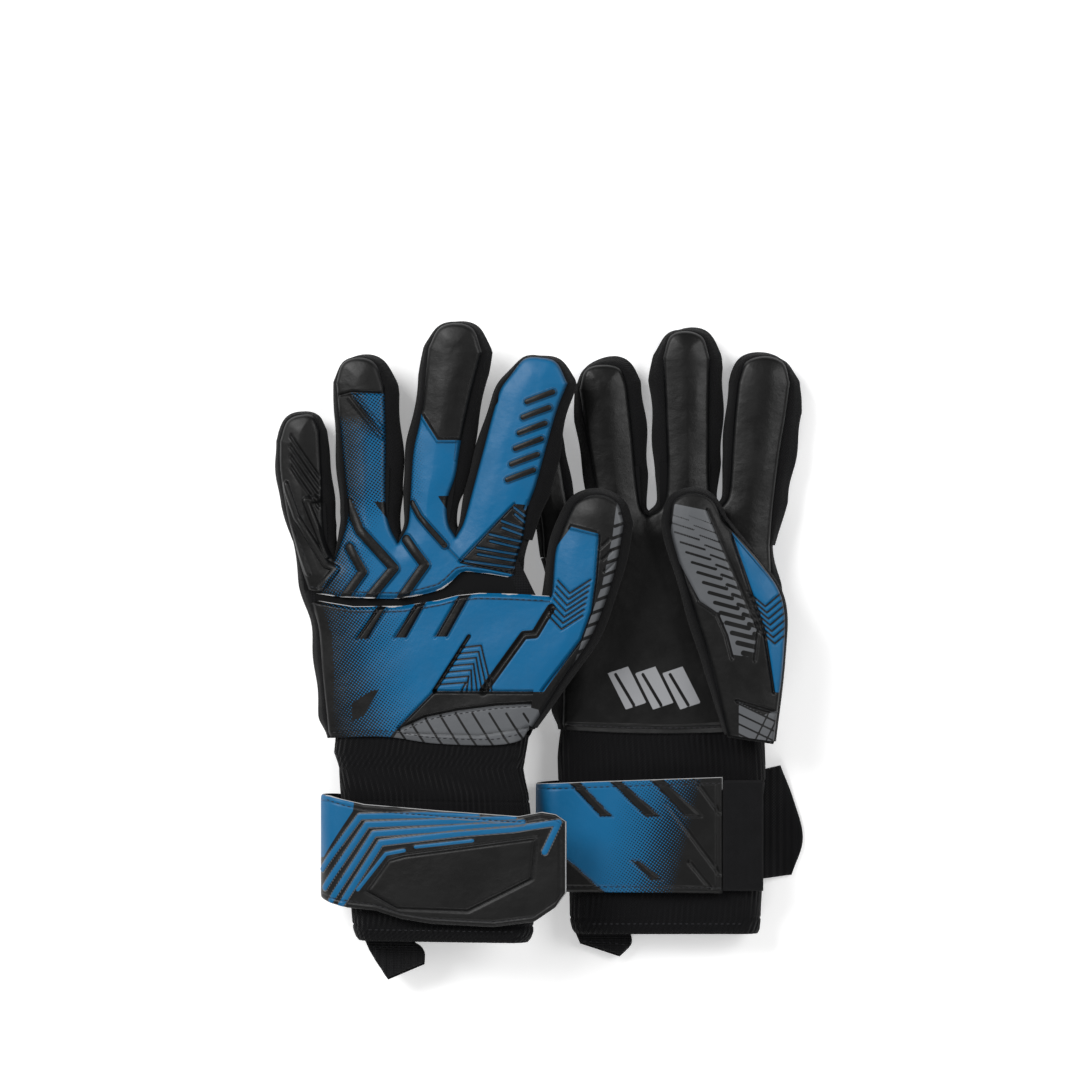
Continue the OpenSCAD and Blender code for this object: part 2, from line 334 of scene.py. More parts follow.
def make_groups():
    """The effects that several materials share."""
    vec, val = "NodeSocketVector", "NodeSocketFloat"
    # Round dots in a slanted grid: the share of ink follows the tone
    g, i, o = group("Halftone", [("Plan", vec), ("Tone", val), ("Pitch", val)], [("Ink", val)])
    x, y, _ = g.split(g.turn(i["Plan"], 0.6))
    waves = []
    for axis in (x, y):
        angle = g.math("MULTIPLY", g.math("DIVIDE", axis, i["Pitch"]), 2 * math.pi)
        waves.append(g.math("COSINE", angle))
    spot = g.math("MULTIPLY_ADD", g.math("ADD", waves[0], waves[1]), 0.25, 0.5)
    edge = g.math("SUBTRACT", g.math("MULTIPLY_ADD", i["Tone"], 1.2, spot), 1.09)
    g.tree.links.new(g.step(edge, -0.07, 0.07), o["Ink"])
    # Fine pores, soft dents and scuffs of cast latex
    g, i, o = group("Latex", [("Plan", vec)], [("Height", val), ("Wear", val)])
    pores = g.noise(i["Plan"], 2.6, 3.0)
    dents = g.noise(i["Plan"], 0.22, 3.0)
    scuffs = g.step(g.noise(i["Plan"], 0.06, 6.0, 0.62), 0.42, 0.72)
    g.tree.links.new(g.math("MULTIPLY_ADD", pores, 0.16, g.math("MULTIPLY", dents, 0.9)), o["Height"])
    g.tree.links.new(scuffs, o["Wear"])
    # Knit or weave: crossed waves at a given pitch
    g, i, o = group("Weave", [("Plan", vec), ("Pitch", val), ("Angle", val)], [("Height", val)])
    rotate = g.add("ShaderNodeCombineXYZ", {2: i["Angle"]}).outputs[0]
    turned = g.add("ShaderNodeMapping", {"Vector": i["Plan"], "Rotation": rotate}).outputs[0]
    x, y, _ = g.split(turned)
    sx = g.math("SINE", g.math("MULTIPLY", g.math("DIVIDE", x, i["Pitch"]), 2 * math.pi))
    sy = g.math("SINE", g.math("MULTIPLY", g.math("DIVIDE", y, i["Pitch"]), 2 * math.pi))
    g.tree.links.new(g.math("MULTIPLY_ADD", g.math("MULTIPLY", sx, sy), 0.5, 0.5), o["Height"])


def srgb(r, g, b):
    """Linear colour of a screen colour from 0 to 255."""
    def linear(c):
        c /= 255
        return c / 12.92 if c <= 0.04045 else ((c + 0.055) / 1.055) ** 2.4
    return (linear(r), linear(g), linear(b), 1.0)


BLUE = srgb(0, 88, 132)
BLACK = srgb(6, 6, 6)
GREY = srgb(84, 86, 89)
PALE = srgb(140, 141, 144)
FOAM = srgb(176, 176, 177)
# Colour of the painted shade laid into creases, seams and sunken lines
PAINTED_SHADE_COLOUR = srgb(7, 8, 10)


def use_group(g, name, inputs):
    """Places a shared effect in a material, with the material's own values."""
    node = g.add("ShaderNodeGroup", node_tree=bpy.data.node_groups[name])
    g.feed(node.inputs, inputs)
    return node.outputs


def new_material(name):
    """A material, the short way to write its tree, and its shader."""
    material = bpy.data.materials.new(name)
    material.use_nodes = True
    g = Graph(material.node_tree)
    shader = material.node_tree.nodes["Principled BSDF"]
    return material, g, shader


LATEX_GLOSS = 0.25
CLOTH_GLOSS = 0.12


def finish_shader(g, shader, color, rough, height, strength, distance, gloss, coat=0.0, sheen=0.0):
    """Sets colour, roughness and relief, and the gloss, coat and sheen that are the same all over."""
    g.feed(shader.inputs, {"Base Color": color, "Roughness": rough})
    bump = g.add("ShaderNodeBump", {"Height": height, "Strength": strength, "Distance": distance})
    g.tree.links.new(bump.outputs[0], shader.inputs["Normal"])
    shader.inputs["Coat Weight"].default_value = coat
    shader.inputs["Coat Roughness"].default_value = 0.35
    shader.inputs["Sheen Weight"].default_value = sheen
    shader.inputs["Sheen Roughness"].default_value = 0.5
    shader.inputs["Specular IOR Level"].default_value = gloss


def latex_material(name, ground, ink, grey=GREY, rough=0.42):
    """Printed latex: a ground colour, an ink with halftone dots, a grey print, raw foam at cut edges and
    painted shade in creases and seams.
    """
    material, g, shader = new_material(name)
    plan = g.attribute("plan", "Vector")
    surface = use_group(g, "Latex", {"Plan": plan})
    dots = use_group(g, "Halftone", {"Plan": plan, "Tone": g.attribute("tone"), "Pitch": 1.15})["Ink"]
    solid = g.step(g.attribute("black"), -0.12, 0.12)
    dark = g.math("MAXIMUM", dots, solid)
    worn = tuple(c * 0.78 for c in ground[:3]) + (1,)
    shade = g.mix(g.math("MULTIPLY", surface["Wear"], 0.35), ground, worn)
    color = g.mix(dark, shade, ink)
    color = g.mix(g.step(g.attribute("grey"), -0.12, 0.12), color, grey)
    # Painted shade: creases, seams, sunken lines and the feet of raised lines are darkened towards this
    # colour
    color = g.mix(g.step(g.attribute("painted_shade"), 0.0, 1.0, 0.0, 0.85), color, PAINTED_SHADE_COLOUR)
    color = g.mix(g.step(g.attribute("foam"), 0.35, 0.65), color, FOAM)
    roughness = g.math("MULTIPLY_ADD", surface["Wear"], 0.16, rough)
    finish_shader(g, shader, color, roughness, surface["Height"], 0.5, 0.0005, LATEX_GLOSS, coat=0.05)
    return material


def fabric_material(name, color, other, pitch, angle, depth, rough=0.9, sheen=0.05, ribs=0.0):
    """Knitted or woven fabric: crossed yarns, optional ribs along the piece, and uneven dye."""
    material, g, shader = new_material(name)
    plan = g.attribute("plan", "Vector")
    weave = use_group(g, "Weave", {"Plan": plan, "Pitch": pitch, "Angle": angle})["Height"]
    height = weave
    if ribs:
        x = g.split(plan)[0]
        wave = g.math("SINE", g.math("MULTIPLY", x, 2 * math.pi / ribs))
        height = g.math("MULTIPLY_ADD", wave, 0.8, weave)
    fuzz = g.noise(plan, 3.2, 3.0)
    height = g.math("MULTIPLY_ADD", fuzz, 0.4, height)
    tint = g.math("MULTIPLY_ADD", g.noise(plan, 0.12, 3.0), 0.5, g.math("MULTIPLY", weave, 0.4))
    finish_shader(g, shader, g.mix(tint, color, other), rough, height, 0.7, depth, CLOTH_GLOSS, sheen=sheen)
    return material


make_groups()
MATERIALS = {
    "back": latex_material("back_latex", BLUE, BLACK),
    "palm": latex_material("palm_latex", BLACK, BLACK, PALE, 0.38),
    "strap": latex_material("strap_latex", BLACK, BLUE, GREY, 0.45),
    "gusset": fabric_material("gusset_fabric", srgb(8, 8, 9), srgb(19, 19, 20), 0.9, 0.5, 0.0004),
    "mesh": fabric_material("knuckle_mesh", srgb(8, 8, 9), srgb(24, 24, 26), 1.6, 0.785, 0.0007),
    "knit": fabric_material("cuff_knit", srgb(7, 7, 8), srgb(16, 16, 18), 1.1, 0.2, 0.0006, ribs=2.4),
    "elastic": fabric_material("elastic", srgb(9, 9, 10), srgb(20, 20, 22), 1.3, 0.0, 0.0005, ribs=3.2),
    "tape": fabric_material("touch_tape", srgb(12, 12, 13), srgb(28, 28, 30), 0.7, 0.785, 0.0006, 0.95),
    "webbing": fabric_material("webbing", srgb(10, 10, 11), srgb(24, 24, 26), 1.5, 0.785, 0.0006, 0.7),
    "lining": fabric_material("lining", srgb(8, 8, 9), srgb(14, 14, 15), 0.8, 0.3, 0.0003, 0.9),
    "thread": fabric_material("thread", srgb(20, 20, 22), srgb(60, 60, 64), 0.4, 0.5, 0.0001, 0.6),
}


# ---------------------------------------------------------------- seam lines of the panels
# Each digit: left seam from the crotch up, round tip, right seam from the crotch up
SEAMS = [
    {
        "little": ([[9.3, 50], [6.2, 62], [3.4, 80], [3.2, 93]], [[3.2, 93], [6.5, 100.5], [12.5, 103.4],
                   [18, 102.8], [20.9, 98]], [[27.4, 41], [23.6, 50], [22.4, 60], [21.9, 78], [20.9, 98]]),
        "ring": ([[27.4, 41], [31.5, 52], [33.4, 62], [31, 88], [28.2, 119]],
                 [[28.2, 119], [31.2, 126], [38.5, 128.5], [45.6, 125.6], [49.6, 117]],
                 [[55.7, 48.4], [52.2, 55], [50.2, 65], [50.2, 94], [49.6, 117]]),
        "middle": ([[55.7, 48.4], [59.8, 56], [60.8, 65], [62.3, 88], [65.8, 105], [69, 134]],
                   [[69, 134], [73.6, 141], [81, 143.3], [88.6, 140.6], [92.6, 132]],
                   [[81, 51], [77.8, 57], [77.4, 67], [81, 78], [83.4, 93], [88, 114], [92.6, 132]]),
        "index": ([[81, 51], [84.6, 58], [92, 85], [100, 114], [105.6, 122.5]],
                  [[105.6, 122.5], [111, 127.3], [118, 128], [125.2, 125.6], [130, 118]],
                  [[110.5, 50], [112.8, 64], [116.3, 74], [124.6, 104], [130, 118]]),
        "thumb": ([[113.4, -31], [115, -20], [117.4, -4], [121, 14], [123, 25.2], [124.6, 44], [128, 55]],
                  [[128, 55], [133.6, 66], [143, 69.5], [151.4, 66], [154.6, 57]],
                  [[114.6, -32], [119.4, -24.6], [128, -11], [137.4, 2.6], [144, 16],
                                                        [150.6, 36], [154.6, 57]]),
    },
    {
        "little": ([[2, 42], [0.6, 60], [-5.5, 84], [-8, 98]],
                   [[-8, 98], [-5.4, 103], [-0.2, 104.4], [5, 102.6], [7.4, 97]],
                   [[21.5, 44], [15.4, 56], [12.6, 64], [9, 86], [7.4, 97]]),
        "ring": ([[21.5, 44], [25, 58], [24.6, 72], [20.6, 96], [17.6, 116]],
                 [[17.6, 116], [20.4, 123.2], [28, 125.6], [35.4, 123.8], [38.6, 118]],
                 [[48, 60.3], [44.9, 64], [42.9, 76], [40.8, 98], [38.6, 118]]),
        "middle": ([[48, 60.3], [53.6, 64], [55.7, 70], [56, 88], [54.4, 130]],
                   [[54.4, 130], [57.6, 138], [64.6, 140.4], [72, 137.6], [75.2, 130]],
                   [[79.2, 63.8], [76.2, 67], [75, 74], [74.8, 96], [75.2, 130]]),
        "index": ([[79.2, 63.8], [83, 69], [84.6, 86], [85.8, 104], [87.4, 119]],
                  [[87.4, 119], [91, 126.6], [99.6, 129.4], [107.6, 126.4], [110.6, 119]],
                  [[101.6, 47.5], [103, 64], [106, 88], [108.6, 104], [110.6, 119]]),
        "thumb": ([[82.3, -35.4], [74, -2], [66, 23.3], [58.6, 48], [56.6, 58]],
                  [[56.6, 58], [58.6, 66.5], [66, 70.4], [74.6, 68], [80.6, 58]],
                  [[102.6, -38.4], [106.8, -2], [106.6, 22], [98, 38], [80.6, 58]]),
    },
]
# The hand below the digits: left and right edges going up, its lower edge, and the seam across the back
HAND = [
    {"left": [[25, -37.5], [22.4, -12], [20.5, 10], [16.3, 26.6], [12, 40], [9.3, 50]],
     "right": [[113, -33], [114.6, -20], [115.5, -8], [114.6, 12], [106.4, 33], [107.4, 40], [110.5, 50]],
     "low": [[25, -37.5], [49.7, -36.6], [72, -39.4], [97, -40], [109, -38], [113, -33]]},
    {"left": [[10, -34], [10.5, 0], [9, 22], [2, 42]],
     "right": [[99.5, -34], [101, 0], [102.4, 24], [101.6, 47.5]],
     "low": [[10, -34], [40, -35.4], [70, -35.4], [99.5, -34]]},
]
KNUCKLE_EDGE = [[16.3, 26.6], [31.5, 24.6], [55.7, 24], [65.8, 25.6], [74.9, 28.2], [78.9, 31.2],
                [83, 35.2], [86, 35.9], [96, 34.8], [106.4, 33]]
PUNCH_EDGE = [[17, 23.5], [36, 20.5], [58, 20.8], [74, 23.4], [82, 25.5], [91.5, 26.5], [106, 26.2],
              [123, 25.2]]
# Heights between which a digit lies, where they aren't the flat glove's: the right thumb lies on the palm
LOW = {(RIGHT, "thumb"): GLOVE_T + 1.2}
HIGH = {(RIGHT, "thumb"): GLOVE_T + 17.4, (RIGHT, "little"): 14.2}
TIP_REACH = 1.5


def reach_tips():
    """Moves the round end of each finger out, as far as its padding stands past the seam."""
    for seams in SEAMS:
        for digit in DIGITS[:4]:
            for point in seams[digit][1][1:-1]:
                point[1] += TIP_REACH


reach_tips()


def seam_ring(side):
    """Outline sewn round one face of a glove: up the left, round every finger and down the right."""
    parts = [smooth(HAND[side]["left"], 60)]
    for digit in DIGITS[:4]:
        left, tip, right = SEAMS[side][digit]
        parts += [smooth(left, 60), smooth(tip, 40), smooth(right, 60)[::-1]]
    parts.append(smooth(HAND[side]["right"], 60)[::-1])
    return np.vstack(parts)


RINGS = [seam_ring(LEFT), seam_ring(RIGHT)]


def punch_lines():
    """Seams round the left punch panel and thumb, which are one surface."""
    left, tip, right = SEAMS[LEFT]["thumb"]
    line = smooth(left, 90)
    return [smooth(HAND[LEFT]["left"], 60), line[line[:, 1] > 25], smooth(tip, 50), smooth(right, 90)]


def seam_distance(side, piece, p, top):
    """Distance to the nearest seam that holds this skin down."""
    if side == LEFT and top and piece in ("thumb", "punch"):
        lines = punch_lines()
    elif piece == "thumb":
        lines = [digit_outline(side, "thumb")]
    else:
        lines = [RINGS[side]]
    return np.min([line_distance(p, line) for line in lines], axis=0)


def digit_outline(side, digit):
    """Seam round a digit, from its left crotch to its right one."""
    left, tip, right = SEAMS[side][digit]
    return np.vstack([smooth(left, 90)[:-1], smooth(tip, 50)[:-1], smooth(right, 90)[::-1]])


def pressed(side, digit):
    """True for the right little finger, which lies pressed thinner than the rest."""
    return side == RIGHT and digit == "little"


def digit_range(side, digit):
    """Lowest and highest height of a digit."""
    return LOW.get((side, digit), 0.0), HIGH.get((side, digit), GLOVE_T)


def digit_grid(side, digit, step):
    """Grid of plan points over a digit, about a step apart."""
    spare = 6
    left, tip, right = SEAMS[side][digit]
    bottom = [left[0], right[0]]
    length = np.linalg.norm(np.diff(np.array(left), axis=0), axis=1).sum() + spare
    width = np.linalg.norm(np.array(tip[0]) - tip[-1]) + spare
    return coons(bottom, tip, left, right, int(length / step), int(width / step) + 8)


def bend(obj):
    """Bakes the piece's placement into its mesh."""
    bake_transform(obj)


# ---------------------------------------------------------------- prints and embossing
def nested(start, mid, end, step, count):
    """Bent lines, each moved by step from the last."""
    base = np.array([start, mid, end], float)
    return [base + np.array(step, float) * k for k in range(count)]


def slant_bars(x, y, count, pitch, length, lean, drift):
    """Plain slanted bars in a row up a finger."""
    return [[[x + drift * k, y + pitch * k], [x + length + drift * k, y + lean + pitch * k]]
            for k in range(count)]


CHEVRONS = [
    ([[35, 46.5], [41, 35.7], [32.5, 24.2]], 2.0),
    ([[34, 66], [39.5, 54], [54.7, 37.3], [43.6, 24]], 2.2),
    ([[59.8, 50], [68.3, 38.8], [57.7, 24]], 2.1),
    ([[62.3, 66], [65.8, 60], [76.9, 47.4]], 1.3),
]
CORNERS = [[[84 - 1.6 * k, 2.6 - 2.7 * k], [92.8 - 1.1 * k, 3.6 - 2.7 * k], [97.4 - 2.2 * k, -16]]
           for k in range(7)]
CHANNEL = [[123.2, 20], [116.4, 8.6], [111.5, 8.2], [93.6, -16.5]]
INDEX_BARS = slant_bars(104.5, 76, 6, 6.8, 11, 4.2, 1.7)
ROOT_SLOTS = [[[85.6 + 2.7 * k + 3 * (k % 2), 40.6 + 2.9 * k], [111.5, 37 + 2.9 * k]] for k in range(10)]
LEFT_THUMB_CHEVRONS = nested([126, 32], [131.4, 26.4], [140.6, 32.4], [-0.6, -2.6], 7)
RIGHT_THUMB_CHEVRONS = nested([91, 27], [98.6, 20.6], [107, 27.6], [0.7, -2.7], 7)
# Each panel: inks as closed outlines, lines with a half width, raised lines with a half width and a height,
# and sunken lines with a half width and a depth
LEFT_BACK = {
    "black": [
        [[-4, 112], [25.4, 108], [23.6, 50], [27.4, 42], [29, 37], [22.4, 28.7], [21, 20], [-4, 20]],
        [[20, 113], [28.9, 113], [35.5, 114.5], [48.6, 114], [60, 114], [60, 135], [20, 135]],
        [[45.4, 66.6], [51.5, 66.2], [52.5, 57]], [[73.6, 69], [78.2, 69], [78.2, 61.5]],
        [[60, 150], [60, 108], [65.8, 105.4], [73.9, 93.3], [84.5, 93.3], [100, 110], [100, 150]],
        [[107.2, 65.5], [114.2, 64.8], [107.2, 34.4], [83, 39.6]],
        [[48.2, 23], [52.4, 23], [42.8, 6.3], [38.2, 6.3]],
              [[64.2, 23], [68.6, 23], [59.6, 6.9], [55, 6.9]],
        [[83.6, 27], [88.4, 27], [77.6, 7.4], [72.8, 7.4]],
        [[72, -16.5], [128, -16.5], [128, -45], [45, -45], [56, -33]],
        [[12, 24], [22, 22.5], [27, 8], [28, -8], [27, -45], [12, -45]],
              [[48, -16], [44.6, -16.4], [36, -22], [36, -30], [41, -27.5]],
    ],
    "bars": CHEVRONS + [(line, 1.25) for line in INDEX_BARS] + [([[87.4, 7.6], [72, -16.5]], 0.9),
                        (CHANNEL, 1.9)]
            + [(line, 0.4) for line in CORNERS],
    "slots": [(line, 0.42) for line in ROOT_SLOTS],
    "grey": [[[57, -33], [68, -28], [82, -25], [99, -22.7], [114, -21.8], [117.6, -26.4], [116, -45],
              [72, -45], [52, -40]]],
    "grey_lines": [([[52 + 7.4 * k, -26], [62 + 7.4 * k, -42]], 0.5) for k in range(9)],
    "ridges": [(line, half + 0.5, 1.3) for line, half in CHEVRONS]
              + [([[6.2, 74], [11.3, 60], [24.4, 39], [28.9, 37], [22.4, 28.7]], 1.7, 1.2),
                 ([[21.9, 68], [15.6, 67], [24.8, 43]], 1.6, 1.1), ([[8.2, 55], [16.3, 35]], 1.4, 0.9),
                 ([[34.5, 112.5], [49.1, 94.3]], 0.9, 0.7), ([[37.4, 113], [50, 97.6]], 0.9, 0.7),
                 ([[65.8, 105.4], [73.9, 93.3], [82.5, 93.3]], 1.0, 0.8),
                 ([[82.5, 93.3], [81.5, 85]], 0.8, 0.6)]
              + [(line, 1.7, 0.8) for line in INDEX_BARS],
    "grooves": [([[8.7, 91 - 4.5 * k], [20.9, 73 - 4.5 * k]], 0.9, 0.7) for k in range(-1, 3)]
               + [([[28.9, 113], [35.5, 114.5], [48.6, 114]], 0.8, 0.9),
                  ([[87.4, 7.6], [72, -16.5]], 1.2, 0.9), (CHANNEL, 2.2, 1.1),
                  ([[72, -16.5], [120, -16.5]], 0.9, 0.9), ([[72, -16.5], [56, -33]], 0.9, 0.8),
                  ([[57, -33], [68, -28], [82, -25], [99, -22.7], [115, -21.8]], 1.0, 1.1),
                  ([[84, 40], [107.2, 34.7]], 0.8, 0.8), ([[107.2, 65.5], [98, 56], [83, 40.4]], 0.8, 0.8),
                  ([[48, 20.5], [38, 6.3]], 0.9, 0.8), ([[52, 20.5], [43, 6.3]], 0.9, 0.8),
                  ([[64, 20.8], [54.6, 6.9]], 0.9, 0.8), ([[68, 21.4], [59.8, 6.9]], 0.9, 0.8),
                  ([[83, 25.4], [72.6, 7.4]], 0.9, 0.8), ([[88, 25.8], [77.8, 7.4]], 0.9, 0.8),
                  ([[76.9, 47.4], [84, 40]], 0.8, 0.6),
                  ([[59.6, -35], [91.7, -35.7], [114, -32]], 0.6, 0.5)]
               + [(line, 0.7, 0.5) for line in CORNERS]
               + [(line, 0.8, 0.6) for line in ROOT_SLOTS],
}
LEFT_THUMB = {
    "blue": [[[132, 55.4], [144, 52.4], [142.6, 33], [140.5, 18.7], [136, 6.3], [120, -16.5], [108, -16.5],
              [112, 10], [122.6, 25.6], [124.4, 45.6]]],
    "bars": [(line, 0.38) for line in LEFT_THUMB_CHEVRONS]
            + [(CHANNEL, 1.9)],
    "grey": [[[110, -22.2], [117.6, -24.4], [118, -27], [113, -38], [110, -38]],
             [[151.6, 66], [157, 56], [152, 34], [144, 13], [133, -4], [136, 4], [145.4, 30], [150, 52]]],
    "grey_lines": [([[130 + 1.9 * k, -6 + 5.6 * k], [140 + 1.9 * k, -2 + 5.6 * k]], 0.7)
                   for k in range(13)],
    "ridges": [([[132, 55.4], [144, 52.4]], 1.0, 0.8)],
    "grooves": [(line, 0.8, 0.6) for line in LEFT_THUMB_CHEVRONS]
               + [(CHANNEL, 2.2, 1.1)]
               + [([[144, 52.4], [142.6, 33], [140.5, 18.7], [136, 6.3], [119, -16]], 0.9, 1.0)]
               + [([[144.5 + k, 46 - 5 * k], [148.6 + k, 50 - 5 * k]], 0.7, 0.6) for k in range(3)],
}
RIGHT_THUMB = {
    "blue": [[[83.9, 53.5], [101.8, 32.4], [112, 24], [112, 6], [104.8, -17], [103, -16.8], [99, 9.3],
              [90.7, 34]]],
    "bars": [(line, 0.4) for line in RIGHT_THUMB_CHEVRONS],
    "grey": [[[59, 65.5], [72.9, 62.6], [85.3, 32.4], [94.9, 10.6], [93.5, -1.7], [84.6, -0.4], [82.5, 7.9],
              [78.4, 17.5], [70.1, 23], [60.5, 40.9], [57.1, 51.6]],
             [[87, -21], [98, -26.6], [104.6, -24.8], [107, -40], [100, -40.5], [87, -36]]],
    "grey_lines": [([[54 + 2.5 * k, 62 - 4.4 * k], [65 + 2.4 * k, 58.4 - 4.3 * k]], 0.3 + 0.06 * k)
                   for k in range(16)]
                  + [([[65 + 2.4 * k, 60.4 - 4.3 * k], [80 + 2.4 * k, 55 - 4.3 * k]], 0.22 + 0.06 * k)
                     for k in range(16)]
                  + [([[84, -20.4 - 4.4 * k], [108, -32 - 4.4 * k]], 0.4) for k in range(4)]
                  + [([[93 + 5 * k, -40], [101 + 5 * k, -24]], 0.35) for k in range(2)],
    "ridges": [([[83.9, 53.5], [101.8, 32.4]], 0.8, 0.7)],
    "grooves": [(line, 0.8, 0.5) for line in RIGHT_THUMB_CHEVRONS]
               + [([[57, 58], [57.4, 51.6], [60.5, 40.9], [69.4, 23], [77.6, 17], [81.6, 7.9], [84, -2]],
                   0.9, 0.7),
                  ([[73.4, 62.6], [86, 32.4], [95.6, 10.6], [94, -3]], 0.9, 0.7),
                  ([[83.9, 53.5], [90.2, 34], [98.4, 9.3], [102.4, -16.8]], 0.9, 0.9),
                  ([[86, -20.6], [104, -26]], 0.8, 0.8)],
}
RIGHT_PALM = {
    "black": [[[-40, -60], [140, -60], [140, 160], [-40, 160]]],
    "grey": [[[30, -9], [39, -6], [47, -22], [38, -25]], [[42, -9], [51, -6], [59, -22], [50, -25]],
             [[54, -9], [63, -6], [71, -22], [62, -25]]],
    "grey_lines": [([[33.5, -9.5], [41.5, -23]], 0.7), ([[45.5, -9.5], [53.5, -23]], 0.7),
                   ([[57.5, -9.5], [65.5, -23]], 0.7)],
    "ridges": [],
    "grooves": [([[12, -31.6], [60, -32.6], [97, -31]], 0.7, 0.6)],
}
# The faces that lie on the floor have no print
PLAIN = {}


def left_tone(p):
    """Share of dots over the left back, from none on the plain blue to nearly full at its dark side."""
    x, y = p[..., 0], p[..., 1]
    fingers = np.clip((57 - x) / 22, 0, 1) * 0.75
    tip = np.clip((y - 84) / 22, 0, 1) * np.clip((41.5 - x + (112.5 - y) * 0.8) / 6, 0, 1)
    fingers = np.maximum(fingers, tip * (x < 54))
    knuckles = np.clip((50 - x) / 26, 0, 1) * 0.8
    punch = np.clip((66 - x) / 46, 0, 1) * 0.95 + np.clip((-4 - y) / 60, 0, 1) * 0.3 * (x < 66)
    middle = np.clip((70 - x) / 12, 0, 1) * 0.45 * (y > 60)
    rise = ease((y - 52) / 20)
    return np.where(y > 23.7, np.maximum(fingers, middle) * rise + knuckles * (1 - rise), punch)


# An ink this far away, in millimetres, shows nowhere
NO_INK = -20.0


def paint(p, spec, tone=None):
    """Signed distances, in millimetres, to the inks of a panel, and the tone of its dots."""
    black = np.full(p.shape[:-1], NO_INK)
    for poly in spec.get("black", []):
        black = np.maximum(black, inside(p, poly))
    if "blue" in spec:
        black = -inside(p, spec["blue"][0])
    for line, half in spec.get("slots", []):
        black = np.minimum(black, line_distance(p, line) - half)
    for line, half in spec.get("bars", []):
        black = np.maximum(black, half - line_distance(p, line))
    grey = np.full(p.shape[:-1], NO_INK)
    for poly in spec.get("grey", []):
        grey = np.maximum(grey, inside(p, poly))
    for line, half in spec.get("grey_lines", []):
        grey = np.minimum(grey, line_distance(p, line) - half)
    zero = np.zeros(p.shape[:-1])
    return {"black": black, "grey": grey, "tone": zero if tone is None else tone, "foam": zero,
            "painted_shade": zero}


RIDGE_GAIN = 1.35
GROOVE_GAIN = 1.5


def emboss(p, spec, marks):
    """Raised and sunken lines of a panel; painted shade darkens the sunken ones and a line at the foot of
    each raised one.
    """
    height = np.zeros(p.shape[:-1])
    for line, half, rise in spec["ridges"]:
        d = line_distance(p, line)
        height = np.maximum(height, rise * RIDGE_GAIN * dome(np.clip(half - d, 0, None), half))
        marks["painted_shade"] = np.maximum(marks["painted_shade"], 0.6 * (1 - ease(np.abs(d - half) / 0.7)))
    for line, half, depth in spec["grooves"]:
        d = line_distance(p, line)
        height += groove(d, half + 0.2, depth * GROOVE_GAIN)
        marks["painted_shade"] = np.maximum(marks["painted_shade"], 0.75 * (1 - ease(d / (half * 0.8))))
    return height


# ---------------------------------------------------------------- glove skins
SKIN_THICK = 3.0
# Round shoulder beside a seam and soft crown past it: how far each reaches and how much it rises
SHOULDER_REACH, SHOULDER_RISE = 1.9, 1.7
CROWN_REACH, CROWN_RISE = 10.5, 2.2
# How far a seam lies below the face of the glove
SEAM_DROP, PRESSED_DROP = 3.9, 2.0
# The lowest skins stay this far above the floor
CLEAR = 0.05


def skin_height(side, digit, p, d, top, seed=3):
    """Height of a padded skin: low at the seam, with a short round shoulder and a long soft crown."""
    low, high = digit_range(side, digit) if digit else (0.0, GLOVE_T)
    shoulder = SHOULDER_RISE * dome(d, SHOULDER_REACH)
    rise = shoulder + CROWN_RISE * np.sin(np.clip(d / CROWN_REACH, 0, 1) * math.pi / 2)
    uneven = 0.55 * hills(p, 26, seed + side) * np.clip(d / 6, 0, 1)
    drop = SEAM_DROP
    if pressed(side, digit):
        rise = rise * 0.5
        uneven = uneven * 0.3
        drop = PRESSED_DROP
    height = rise - drop + uneven
    return high + height if top else low - np.minimum(height, -CLEAR)


def edge_foam(p, edge, marks, height, wide=1.7, fall=2.2):
    """Cut edge of a foam-backed panel: the height falls away, the white foam shows in an uneven line and a
    line of painted shade lies just past it.
    """
    d = line_distance(p, edge)
    shown = wide * (0.2 + 0.42 * hills(p, 9, 21))
    marks["foam"] = np.maximum(marks["foam"], ease((shown - d) / 0.4))
    marks["painted_shade"] = np.maximum(marks["painted_shade"], 0.8 * (1 - ease(np.abs(d - wide - 0.7) / 0.8)))
    return height - fall * (1 - ease(d / wide))


def digit_skin(side, digit, top):
    """Latex on one face of a digit, with its print and its relief."""
    name = SIDES[side] + "_" + digit
    grid = digit_grid(side, digit, 0.5 if top else 1.2)
    d = seam_distance(side, digit, grid, top)
    height = skin_height(side, digit, grid, d, top)
    shown = top if side == LEFT else not top
    if digit == "thumb":
        spec = (LEFT_THUMB if side == LEFT else RIGHT_THUMB) if top else PLAIN
        marks = paint(grid, spec)
        material = "back" if top else "palm"
    elif top:
        spec = LEFT_BACK if side == LEFT else RIGHT_PALM
        marks = paint(grid, spec, left_tone(grid) if side == LEFT else None)
        material = "back" if side == LEFT else "palm"
    else:
        spec = PLAIN
        marks = paint(grid, spec)
        material = "palm" if side == LEFT else "back"
    relief = emboss(grid, spec, marks) if top else 0.0
    # Painted shade along the seam, where the skin dips
    marks["painted_shade"] = np.maximum(marks["painted_shade"], np.clip(1 - d / 1.6, 0, 1) * 0.8)
    if digit == "thumb" and side == LEFT and top:
        edge = [[122.2, 42], [121.6, 28]]
        height = edge_foam(grid, edge, marks, height, 1.6, 0.8)
    if top:
        height = height + relief * np.clip(d / 1.5, 0, 1)
    if side == RIGHT or digit != "thumb":
        height = np.maximum(height, CLEAR)
    label = name + ("_top_skin" if top else "_under_skin")
    obj = plate(label, side, grid, height, SKIN_THICK, marks, MATERIALS[material], top)
    bend(obj)
    node = name + ("_back" if shown else "_face")
    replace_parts(obj, node)
    return obj


def crotch_line(side):
    """Upper edge of the hand: the points between the roots of the fingers."""
    roots = [SEAMS[side][digit] for digit in DIGITS[:4]]
    return [roots[0][0][0]] + [root[2][0] for root in roots]


